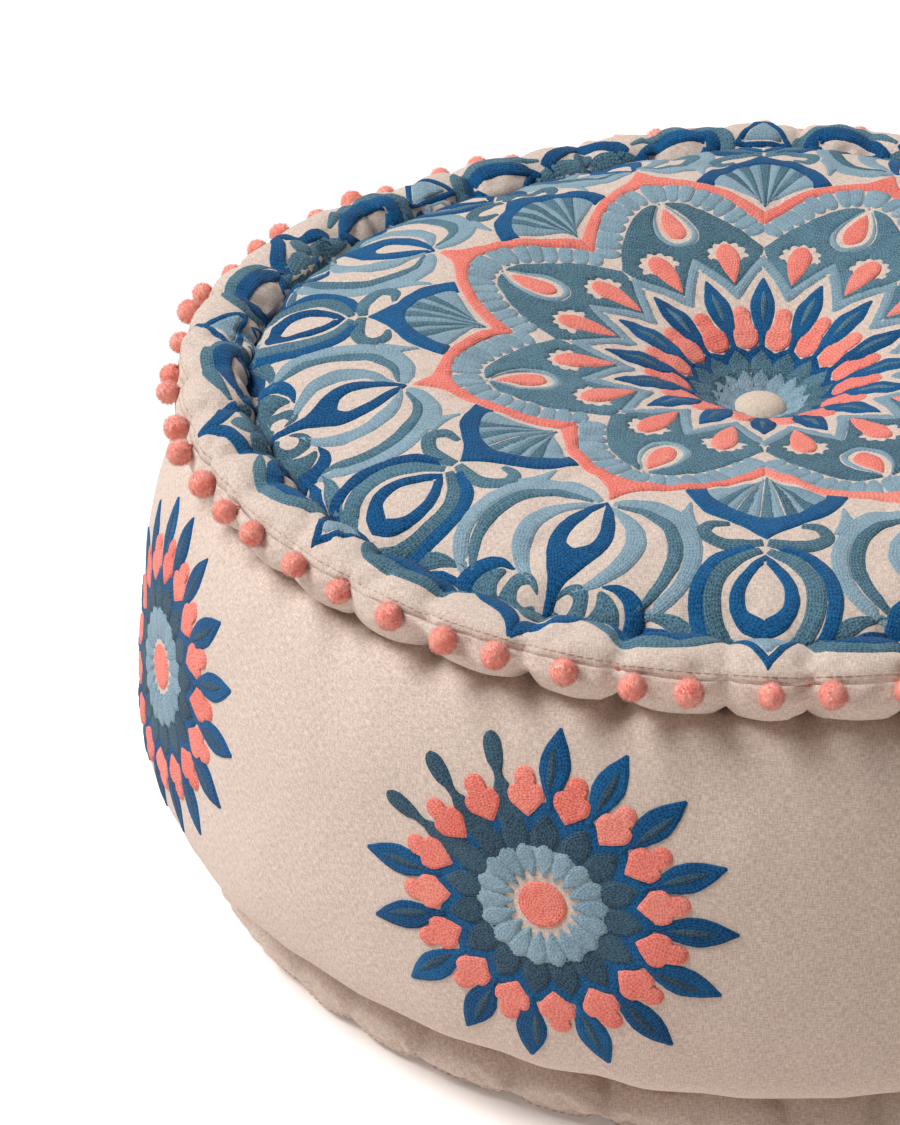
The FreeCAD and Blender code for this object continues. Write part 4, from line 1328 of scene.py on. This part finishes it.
@dataclass
class Medallions:
    """Round flowers of sixteen leaves on the side, in millimetres across and up from each centre."""

    form: CushionForm
    first: float = -107.0
    count: int = 8
    spokes: int = 16
    club_spokes: tuple[int, ...] = (1, 2, 3)
    stretch: tuple[float, float] = (1.07, 1.0)
    unsteadiness: float = 0.5
    strays: tuple[tuple[float, float], ...] = (
        (0, -3), (0.8, 3), (-0.9, -2), (0.5, 4), (-0.4, -3), (1.1, 2), (-0.6, 5), (-5.0, -4),
    )

    def heart(self) -> tuple[Array, ...]:
        """Coral heart with a knob, on the axis."""
        lobes = symmetric([(0, 42.5), (5, 47), (8.6, 51.5), (7.5, 57), (3, 58.2), (0, 56.5)])
        return lobes, stroke([(0, 54), (0, 62)], (9.5, 9.0)), disc(0, 61.5, 4.8)

    def motifs(self) -> list[tuple[Motif, float, float]]:
        """Every motif of a flower, each with its first angle in degrees and its spacing."""
        spoke = 360.0 / self.spokes
        navy = polar_loop(lambda t: 51.5 - 5.5 * off_axis(t) ** 0.8, 51)
        navy_back = polar_loop(lambda t: 38.0 - 4.0 * off_axis(t), 38)
        once, axis = 360.0, 90.0
        slate_leaf, pale_leaf = leaf(22, 46.0, 6.6, 0.55, 8.6, 0.95), leaf(13.6, 31.0, 4.9, 0.62, 1.4, 0.62)
        return [
            (Motif(thread, outlines, Axes.ONCE, gaps, lift), first, spacing)
            for thread, outlines, gaps, lift, first, spacing in (
                (Thread.CORAL, (disc(0, 0, 11.2),), (), 1.1, axis, once),
                (Thread.NAVY, (navy,), (navy_back,), 0.6, axis, once),
                (Thread.SLATE, (disc(0, 0, 42.0),), (disc(0, 0, 25.0),), 0.5, axis, once),
                (Thread.SLATE, (slate_leaf,), (), 1.0, axis, spoke),
                (Thread.PALE, (disc(0, 0, 28.6),), (disc(0, 0, 17.0),), 1.05, axis, once),
                (Thread.PALE, (pale_leaf,), (), 1.3, axis, 20.0),
                (Thread.CORAL, self.heart(), (), 1.15, axis + spoke / 2, spoke),
                (Thread.NAVY, (leaf(47, 87, 7.2, 0.52, 3.6),), (), 0.9, axis, spoke),
                (Thread.SLATE, (leaf(54, 79, 2.2),), (), 1.3, axis, spoke),
            )
        ]

    def build(self) -> list[Piece]:
        """Work every flower and return the pieces."""
        work = Embroidery("side", 19)
        low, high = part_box("medallion_navy_thread")
        level = (low.z + high.z) / 2
        out, levels = self.form.section[self.form.side_rows()].T
        reach = float(np.interp(-level, -levels, out))
        drawing = [(motif, Patch.of(motif, work.draw), *axes) for motif, *axes in self.motifs()]
        blade, vein = drawing[-2][0], drawing[-1][0]
        stem = leaf(25, 67, 6.4, 0.5, 6.0), stroke([(0, 59), (0, 72)], (3.2, 3.0)), drop(60, 78, 5.3)
        club = Motif(Thread.SLATE, stem, Axes.ONCE)
        club_patch = Patch.of(club, work.draw)
        for flower in range(self.count):
            swing, rise = self.strays[flower]
            middle = math.radians(self.first + flower * 360.0 / self.count + swing)
            for motif, patch, first, spacing in drawing:
                for spoke, axis in enumerate(np.arange(first, first + 360.0, spacing)):
                    shown, laid = motif, patch
                    if flower == 0 and spoke in self.club_spokes:
                        if motif is vein:
                            continue
                        if motif is blade:
                            shown, laid = club, club_patch
                    a = math.radians(axis + work.draw.normal(0, self.unsteadiness))

                    def place(points: Array, lift: Array) -> Array:
                        """Drawing points about this spoke, laid on the side."""
                        u, v = points.T
                        across = self.stretch[0] * (v * math.cos(a) + u * math.sin(a))
                        up = rise + self.stretch[1] * (v * math.sin(a) - u * math.cos(a))
                        return self.form.on_side(middle + across * MM / reach, up * MM, level, lift)

                    work.lay(laid, shown, False, place)
        pieces = work.gather("medallion")
        # The side flowers' slate takes the darker copy of the slate finish: painted shade on the side.
        pieces[list(Thread).index(Thread.SLATE)].data.materials[0] = finish_of(SHADED_SLATE)
        return pieces


# ---------------------------------------------------------------- repeated pieces
class Recipe:
    """Geometry Nodes tree under construction, run once to a plain mesh."""

    def __init__(self, name: str, **inputs: float) -> None:
        """Start a tree.

        Args:
            name: Name of the tree.
            **inputs: Named sizes with their defaults.
        """
        self.tree = bpy.data.node_groups.new(name, "GeometryNodeTree")
        sockets = self.tree.interface
        for way in ("OUTPUT", "INPUT"):
            sockets.new_socket(name="Geometry", in_out=way, socket_type="NodeSocketGeometry")
        self.keys = {}
        for word, value in inputs.items():
            kind = "NodeSocketInt" if isinstance(value, int) else "NodeSocketFloat"
            socket = sockets.new_socket(name=word, in_out="INPUT", socket_type=kind)
            socket.default_value = value
            self.keys[word] = socket.identifier
        self.inputs = self.tree.nodes.new("NodeGroupInput").outputs

    def add(self, kind: str, **inputs: object) -> Node:
        """Add a node, wired as inputs say."""
        return wire(self.tree, self.tree.nodes.new(kind), inputs)

    def random(self, low: object, high: object) -> Socket:
        """Random number, or three of them, for each point, from the tree's own seed."""
        vector = isinstance(low, tuple)
        kind, ends = ("FLOAT_VECTOR", ("i0", "i1")) if vector else ("FLOAT", ("i2", "i3"))
        limits = dict(zip(ends, (low, high)))
        node = self.add("FunctionNodeRandomValue", data_type=kind, Seed=self.inputs["Seed"], **limits)
        return node.outputs[0 if vector else 1]

    def run(
        self, shape: Socket, source: Piece, name: str, finish: object, **values: float
    ) -> Piece:
        """Close the tree and turn its result into a plain mesh piece.

        Args:
            shape: Geometry that the tree makes.
            source: Object that the tree starts from, removed afterwards.
            name: Name of the piece.
            finish: Finish of the piece.
            **values: Sizes set on the modifier, by their names.

        Returns:
            The piece.
        """
        real = self.add("GeometryNodeRealizeInstances", i0=shape)
        smooth = self.add("GeometryNodeSetShadeSmooth", i0=real.outputs[0])
        coated = self.add("GeometryNodeSetMaterial", i0=smooth.outputs[0], Material=finish_of(finish))
        self.add("NodeGroupOutput", i0=coated.outputs[0])
        modifier = source.modifiers.new("recipe", "NODES")
        modifier.node_group = self.tree
        for word, value in values.items():
            modifier[self.keys[word]] = value
        graph = bpy.context.evaluated_depsgraph_get()
        made = bpy.data.meshes.new_from_object(source.evaluated_get(graph), depsgraph=graph)
        source.modifiers.remove(modifier)
        bpy.data.objects.remove(source)
        made.name = name
        return link(bpy.data.objects.new(name, made))


def line_source(name: str, lines: list[Array], closed: bool = False) -> Piece:
    """Mesh of bare edges for a recipe to follow."""
    mesh = bpy.data.meshes.new(name)
    edges, start = [], 0
    for line in lines:
        count = len(line)
        edges += [(start + i, start + (i + 1) % count) for i in range(count if closed else count - 1)]
        start += count
    mesh.from_pydata([tuple(p) for line in lines for p in line], edges, [])
    return link(bpy.data.objects.new(name, mesh))


@dataclass
class PompomTrim:
    """Wool pompoms on thread loops along the top seam."""

    form: CushionForm
    count: int = 64
    radius: float = 5.7 * MM
    fibre: float = 1.7 * MM
    fibre_width: float = 0.16 * MM
    fibres: float = 2.0e6
    lumps: float = 2.6 * MM
    jitter: float = 0.13
    hang: float = 1.7
    hang_jitter: tuple[float, float] = (-0.4, 0.6)
    strand: float = 0.4 * MM
    twist: float = 0.42 * MM
    twist_turn: float = 9.0
    bow: float = 1.6 * MM
    tape_half_rows: float = 0.15
    tape_lifts: tuple[float, float] = (-0.6 * MM, -2.4 * MM)

    def places(self) -> tuple[Array, Array]:
        """Centres of the pompoms and the angles that they hang at."""
        draw = np.random.default_rng(3)
        stray = draw.uniform(-self.jitter, self.jitter, self.count)
        turn = (np.arange(self.count) + stray) * (TURN / self.count)
        row = self.form.marks["seam"] + self.hang + draw.uniform(*self.hang_jitter, self.count)
        centres = self.form.sample(row, turn, np.full(self.count, self.radius * 0.9))
        return centres, turn

    def pompoms(self, centres: Array) -> Piece:
        """Fluffy balls, each a rough core with short fibres standing on it."""
        recipe = Recipe("pompom_row", Radius=self.radius, Fibre=self.fibre, Density=self.fibres, Seed=5)
        size, seed, add = recipe.inputs["Radius"], recipe.inputs["Seed"], recipe.add
        ball = add("GeometryNodeMeshIcoSphere", Radius=1.0, Subdivisions=3).outputs[0]
        triple = add("ShaderNodeCombineXYZ", X=size, Y=size, Z=size).outputs[0]
        scaled = add("GeometryNodeTransform", i0=ball, Scale=triple).outputs[0]
        spots = add("GeometryNodeInstanceOnPoints", Points=recipe.inputs["Geometry"], Instance=scaled,
                    Rotation=recipe.random((0, 0, 0), (6.28, 6.28, 6.28)), Scale=recipe.random(0.9, 1.07))
        real = add("GeometryNodeRealizeInstances", i0=spots.outputs[0]).outputs[0]
        bumps = add("ShaderNodeTexNoise", Scale=330.0, Detail=3.0).outputs["Fac"]
        shift = add("ShaderNodeMath", operation="SUBTRACT", i0=bumps, i1=0.5).outputs[0]
        reach = add("ShaderNodeMath", operation="MULTIPLY", i0=shift, i1=self.lumps).outputs[0]
        normal = add("GeometryNodeInputNormal").outputs[0]
        push = add("ShaderNodeVectorMath", operation="SCALE", i0=normal, i3=reach).outputs[0]
        rough = add("GeometryNodeSetPosition", Geometry=real, Offset=push).outputs[0]
        density = recipe.inputs["Density"]
        roots = add("GeometryNodeDistributePointsOnFaces", i0=rough, Density=density, Seed=seed)
        hair = add("GeometryNodeMeshCone", fill_type="NONE", Vertices=3, Radius_Bottom=self.fibre_width,
                   Radius_Top=0.0, Depth=recipe.inputs["Fibre"]).outputs[0]
        tilt = add("FunctionNodeRotateRotation", rotation_space="LOCAL", i0=roots.outputs["Rotation"],
                   i1=recipe.random((-0.7, -0.7, 0), (0.7, 0.7, 6.28))).outputs[0]
        stems = roots.outputs["Points"]
        hairs = add("GeometryNodeInstanceOnPoints", Points=stems, Instance=hair, Rotation=tilt)
        both = add("GeometryNodeJoinGeometry", i0=rough)
        recipe.tree.links.new(hairs.outputs[0], both.inputs[0])
        source = line_source("pompom_spots", [c[None] for c in centres])
        return recipe.run(both.outputs[0], source, "pompom_row", POMPOM_WOOL, Radius=self.radius)

    def loops(self, centres: Array, turn: Array) -> Piece:
        """Two twisted strands from the seam into each pompom."""
        strands = []
        seam = float(self.form.marks["seam"])
        for centre, angle in zip(centres, turn):
            root = self.form.sample(np.array([seam - 0.3]), np.array([angle]), np.array([0.2 * MM]))[0]
            side = np.array([-math.sin(angle), math.cos(angle), 0])
            out = np.array([math.cos(angle), math.sin(angle), 0.35])
            share = np.linspace(0, 1, 9)[:, None]
            middle = root + (centre - root) * share + out * np.sin(share * math.pi) * self.bow
            for way in (0.0, math.pi):
                spin = share * self.twist_turn + way
                twist = side * np.cos(spin) + out * np.sin(spin)
                strands.append(middle + twist * self.twist)
        recipe = Recipe("thread_loops", Strand=self.strand)
        curve = recipe.add("GeometryNodeMeshToCurve", i0=recipe.inputs["Geometry"]).outputs[0]
        ring = recipe.add("GeometryNodeCurvePrimitiveCircle", Resolution=6, Radius=recipe.inputs["Strand"])
        tube = recipe.add("GeometryNodeCurveToMesh", i0=curve, Profile_Curve=ring.outputs[0], Fill_Caps=True)
        source = line_source("loop_lines", strands)
        return recipe.run(tube.outputs[0], source, "pompom_thread_loops", CORAL_TWIST, Strand=self.strand)

    def tape(self) -> Piece:
        """Flat woven header, held in the seam with the loops' ends in it."""
        turn, seam = self.form.theta[::2], float(self.form.marks["seam"])
        half, (outer, inner) = self.tape_half_rows, self.tape_lifts
        corners = (-half, outer), (half, outer), (half, inner), (-half, inner)
        rings = [self.form.ring(seam + step, lift, turn) for step, lift in corners]
        closed = np.stack(rings + rings[:1])
        points = closed[:-1].reshape(-1, 3)
        faces = ring_faces(len(closed), len(turn)) % len(points)
        return mesh_object("pompom_header_tape", points, faces)

    def build(self) -> list[Piece]:
        """Make the pompoms, their loops and the tape that carries them."""
        centres, turn = self.places()
        pieces = [self.pompoms(centres), self.loops(centres, turn), self.tape()]
        nodes = ("pompoms", "pompom_loops", "pompom_tape")
        for piece, finish, node in zip(pieces, (POMPOM_WOOL, CORAL_TWIST, CORAL_TWIST), nodes):
            dress(piece, finish, "coral_wool", node)
        return pieces


@dataclass
class Stitching:
    """Visible thread of the seams and of the gathers of both rolls."""

    form: CushionForm
    stitch_length: float = 3.4 * MM
    pitch: float = 4.2 * MM
    thickness: float = 0.36 * MM
    gather_sizes: tuple[float, float, float] = (40 * MM, 6 * MM, 0.5 * MM)
    gather_lift: float = 0.35 * MM
    gather_rows: float = 1.6

    def dashes(
        self, source: Piece, name: str, pitch: float, length: float, thickness: float
    ) -> Piece:
        """Short rounded stitches along the source's lines.

        Args:
            source: Lines to follow.
            name: Name of the piece.
            pitch: Distance from one stitch to the next.
            length: Length of one stitch.
            thickness: Radius of the thread.

        Returns:
            The piece.
        """
        recipe = Recipe(name + "_recipe", Pitch=pitch, Length=length, Thread=thickness)
        thread, add = recipe.inputs["Thread"], recipe.add
        curve = add("GeometryNodeMeshToCurve", i0=recipe.inputs["Geometry"]).outputs[0]
        spots = add("GeometryNodeCurveToPoints", mode="LENGTH", i0=curve, Length=recipe.inputs["Pitch"])
        stitch = add("GeometryNodeMeshUVSphere", Segments=6, Rings=5, Radius=1.0).outputs[0]
        half = add("ShaderNodeMath", operation="MULTIPLY", i0=recipe.inputs["Length"], i1=0.5).outputs[0]
        scale = add("ShaderNodeCombineXYZ", X=thread, Y=thread, Z=half).outputs[0]
        sized = add("GeometryNodeTransform", i0=stitch, Scale=scale).outputs[0]
        row = add("GeometryNodeInstanceOnPoints", Points=spots.outputs["Points"], Instance=sized,
                  Rotation=spots.outputs["Rotation"]).outputs[0]
        return recipe.run(row, source, name, LINEN_TWIST, Pitch=pitch)

    def gathers(self, which: str, marks: tuple[str, str]) -> Piece:
        """Twine stitch across each crease of a roll at every gather."""
        lines = []
        for mark in marks:
            row = self.form.marks[mark] + np.linspace(-self.gather_rows, self.gather_rows, 5)
            for place in self.form.pinch_places:
                lines.append(self.form.sample(row, np.full(5, place), np.full(5, self.gather_lift)))
        return self.dashes(line_source(which, lines), f"{which}_roll_gathers", *self.gather_sizes)

    def build(self) -> list[Piece]:
        """Make the seam lines and the gathers."""
        marks, theta = self.form.marks, self.form.theta
        pieces = []
        for which, mark, step in (("top", "seam", -1.6), ("bottom", "low_seam", 1.4)):
            source = line_source(which, [self.form.ring(marks[mark] + step, 0.1 * MM, theta)], closed=True)
            sizes = self.pitch, self.stitch_length, self.thickness
            pieces.append(self.dashes(source, f"{which}_seam_stitching", *sizes))
            dress(pieces[-1], LINEN_TWIST, "linen_thread", f"{which}_seam_thread")
        for which, pair in zip(("top", "bottom"), self.form.pads):
            pieces.append(self.gathers(which, pair[:2]))
            dress(pieces[-1], LINEN_TWIST, "linen_thread", f"{which}_roll_stitches")
        return pieces


@dataclass
class CoveredButton:
    """Linen drawn over a domed shell and gathered behind it."""

    which: str
    rise_share: float = 1.3
    columns: int = 96
    profile: tuple[Point, ...] = (
        (0.06, 1.0), (0.35, 0.96), (0.65, 0.82), (0.88, 0.55), (1.0, 0.24), (0.97, 0.02), (0.8, -0.04),
        (0.5, -0.05),
    )

    def build(self) -> Piece:
        """Make the covered cap in the place of its CAD solid."""
        low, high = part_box(f"{self.which}_button_cap")
        radius = (high.x - low.x) / 2
        rise = (high.z - low.z) * self.rise_share
        way = 1.0 if self.which == "top" else -1.0
        base = low.z if way > 0 else high.z
        turn = ring_turn(self.columns)
        section = smooth_path(self.profile, 0.035)
        gather = np.clip((section[:, 0] - 0.6) / 0.4, 0, 1) ** 2 * (section[:, 1] < 0.7)
        folds = 1 + 0.012 * gather[:, None] * np.cos(turn * 22 + 1.5 * np.sin(turn * 3))
        reach = section[:, :1] * radius * folds
        level = base + way * section[:, 1:] * rise + 0 * turn
        points = np.stack([reach * np.cos(turn), reach * np.sin(turn), level], -1)
        grid = ring_faces(*points.shape[:2])[:, :: int(way)]
        flat = points.reshape(-1, 3)
        middles = np.array([[0, 0, base + way * 1.003 * rise], [0, 0, base - way * 0.05 * rise]])
        last = (len(section) - 1) * self.columns
        count = len(flat)
        ring = np.arange(self.columns)
        after = (ring + 1) % self.columns
        caps = np.vstack([
            np.stack([np.full_like(ring, count), ring, after], 1),
            np.stack([np.full_like(ring, count + 1), last + after, last + ring], 1),
        ])[:, :: int(way)]
        triangles = np.vstack([grid[:, [0, 1, 2]], grid[:, [0, 2, 3]], caps])
        everything = np.vstack([flat, middles])
        uv = everything[triangles.ravel()][:, :2]
        cap = mesh_object(f"{self.which}_covered_button", everything, triangles, uv)
        dress(cap, BUTTON_LINEN, "button_cloth", f"{self.which}_button_cap")
        return cap


# ---------------------------------------------------------------- finishes in use
LINEN = LinenFinish("undyed_linen")
BUTTON_LINEN = LinenFinish("button_linen", (226, 208, 190), (200, 176, 156), 0.0007)
POMPOM_WOOL = FibreFinish("pompom_wool", (255, 200, 182), (255, 120, 100), 900.0, 0.0005)
# Darker copy of the slate wool, used on the side flowers only: painted shade.
SHADED_SLATE = WoolFinish("shaded_slate_crewel", (80, 112, 130), (18, 40, 58))
CORAL_TWIST = FibreFinish("coral_twist", (240, 130, 112), (205, 86, 74), 1200.0, 0.0003)
LINEN_TWIST = FibreFinish("linen_twist", (214, 198, 180), (170, 148, 128), 1500.0, 0.0002)
TWINE = FibreFinish("waxed_twine", (206, 186, 160), (150, 126, 100), 1300.0, 0.0003)
STEEL = SteelFinish()


# ---------------------------------------------------------------- cover
@dataclass
class Cover:
    """The three sewn cloths of the cushion, each a piece of its own with its thickness."""

    form: CushionForm
    thickness: float = 1.2 * MM
    fill: float = 0.85

    def cloth(self, name: str, first: int, last: int, thin: int, flat: bool) -> Piece:
        """One cloth between two rows, with its weave laid along its own cut.

        Args:
            name: Name of the piece.
            first: Its first row.
            last: Its last row.
            thin: Keep one grid line in this many.
            flat: Whether it is cut as a disc rather than as a strip.

        Returns:
            The piece.
        """
        rows = np.unique(np.append(np.arange(first, last + 1, thin), last))
        grid = self.form.points[rows][:, ::thin]
        count, columns = grid.shape[:2]
        faces = ring_faces(count, columns)
        if flat:
            out = self.form.arc[rows] if first == 0 else self.form.arc[-1] - self.form.arc[rows]
            turn = self.form.theta[::thin]
            laid = np.stack([out[:, None] * np.cos(turn), out[:, None] * np.sin(turn)], -1)
            uv = laid.reshape(-1, 2)[faces.ravel()]
        else:
            i, j = np.meshgrid(np.arange(count - 1), np.arange(columns), indexing="ij")
            corners = [(0, 0), (1, 0), (1, 1), (0, 1)]
            girth = 2 * math.pi * self.form.top.ring / columns
            down = self.form.arc[rows]
            laid = [np.stack([(j + b) * girth, -down[i + a]], -1) for a, b in corners]
            uv = np.stack(laid, 2).reshape(-1, 2)
        piece = mesh_object(name, grid.reshape(-1, 3), faces, uv)
        wall = piece.modifiers.new("thickness", "SOLIDIFY")
        wall.thickness = self.thickness
        wall.offset = -1.0
        return piece

    def build(self) -> list[Piece]:
        """Make the top, the side band and the underside."""
        marks = self.form.marks
        plans = (
            ("top_cloth", 0, marks["seam"], 1, True, ("top_panel", "fill_core", "top_roll_fill")),
            ("side_cloth", marks["seam"], marks["low_seam"], 1, False, ("side_band", "bottom_roll_fill")),
            ("underside_cloth", marks["low_seam"], marks["under_tuft"], 2, True, ("bottom_panel",)),
        )
        pieces = []
        for name, first, last, thin, flat, nodes in plans:
            piece = self.cloth(name, first, last, thin, flat)
            dress(piece, LINEN, "linen_cloth", *nodes)
            pieces.append(piece)
        return pieces


def dress_hidden_hardware() -> None:
    """Finishes of the pieces that stay as the frame has them."""
    steel = [f"{which}_button_{part}" for which in ("top", "bottom") for part in ("back", "eye")]
    for node, finish in [(node, STEEL) for node in steel] + [("tufting_twine", TWINE)]:
        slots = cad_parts[node].data.materials
        slots.clear()
        slots.append(finish_of(finish))


# ---------------------------------------------------------------- studio
@dataclass(frozen=True)
class SoftLight:
    """Large square light aimed at the middle of the cushion."""

    name: str
    place: tuple[float, float, float]
    size: float
    power: float
    aim: tuple[float, float, float] = (0.0, 0.0, 0.15)
    colour: tuple[float, float, float] = (1.0, 1.0, 1.0)

    def build(self) -> None:
        """Hang the light."""
        data = bpy.data.lights.new(self.name, "AREA")
        data.shape = "SQUARE"
        data.size = self.size
        data.energy = self.power
        data.color = self.colour
        lamp = link(bpy.data.objects.new(self.name, data))
        lamp.location = self.place
        lamp.rotation_euler = (Vector(self.aim) - Vector(self.place)).to_track_quat("-Z", "Y").to_euler()


@dataclass(frozen=True)
class Studio:
    """Pale floor, soft lights and the camera."""

    camera_place: tuple[float, float, float] = (-0.0414, -1.3998, 0.9783)
    yaw: float = -4.88
    pitch: float = -30.93
    lens: float = 97.5
    film: float = 36.0
    sky: float = 0.14
    floor_reach: float = 30.0

    def floor(self) -> None:
        """Lay the floor."""
        points = np.array([(-1, -1, 0), (1, -1, 0), (1, 1, 0), (-1, 1, 0)]) * self.floor_reach
        ground = mesh_object("studio_floor", points, np.array([[0, 1, 2, 3]]))
        ground.data.materials.append(finish_of(FloorFinish()))

    def camera(self) -> None:
        """Place the camera."""
        data = bpy.data.cameras.new("camera")
        data.sensor_fit = "VERTICAL"
        data.sensor_height = self.film
        data.lens = self.lens
        data.clip_end = 100.0
        camera = link(bpy.data.objects.new("camera", data))
        yaw, pitch = math.radians(self.yaw), math.radians(self.pitch)
        ahead = Vector((math.sin(yaw) * math.cos(pitch), math.cos(yaw) * math.cos(pitch), math.sin(pitch)))
        camera.location = self.camera_place
        camera.rotation_euler = ahead.to_track_quat("-Z", "Y").to_euler()
        bpy.context.scene.camera = camera

    def build(self) -> None:
        """Set up the whole studio."""
        scene = bpy.context.scene
        scene.view_settings.view_transform = "Standard"
        scene.view_settings.look = "None"
        world = bpy.data.worlds.new("studio_air")
        world.use_nodes = True
        air = {"Color": (1.0, 0.86, 0.79, 1.0), "Strength": self.sky}
        wire(world.node_tree, world.node_tree.nodes["Background"], air)
        scene.world = world
        self.floor()
        self.camera()
        SoftLight("key", (-3.78, -0.53, 5.87), 3.0, 600.0, colour=(0.935, 0.968, 1.0)).build()
        SoftLight("far_side", (3.4, 4.1, 2.3), 4.0, 120.0, colour=(1.0, 0.95, 0.91)).build()


def main() -> None:
    """Build the cushion and its studio."""
    logging.basicConfig(level=logging.INFO, format="%(name)s %(message)s")
    Studio().build()
    form = CushionForm()
    Cover(form).build()
    Mandala(form).build()
    Medallions(form).build()
    PompomTrim(form).build()
    Stitching(form).build()
    for which in ("top", "bottom"):
        CoveredButton(which).build()
    dress_hidden_hardware()


if __name__ == "__main__":
    main()
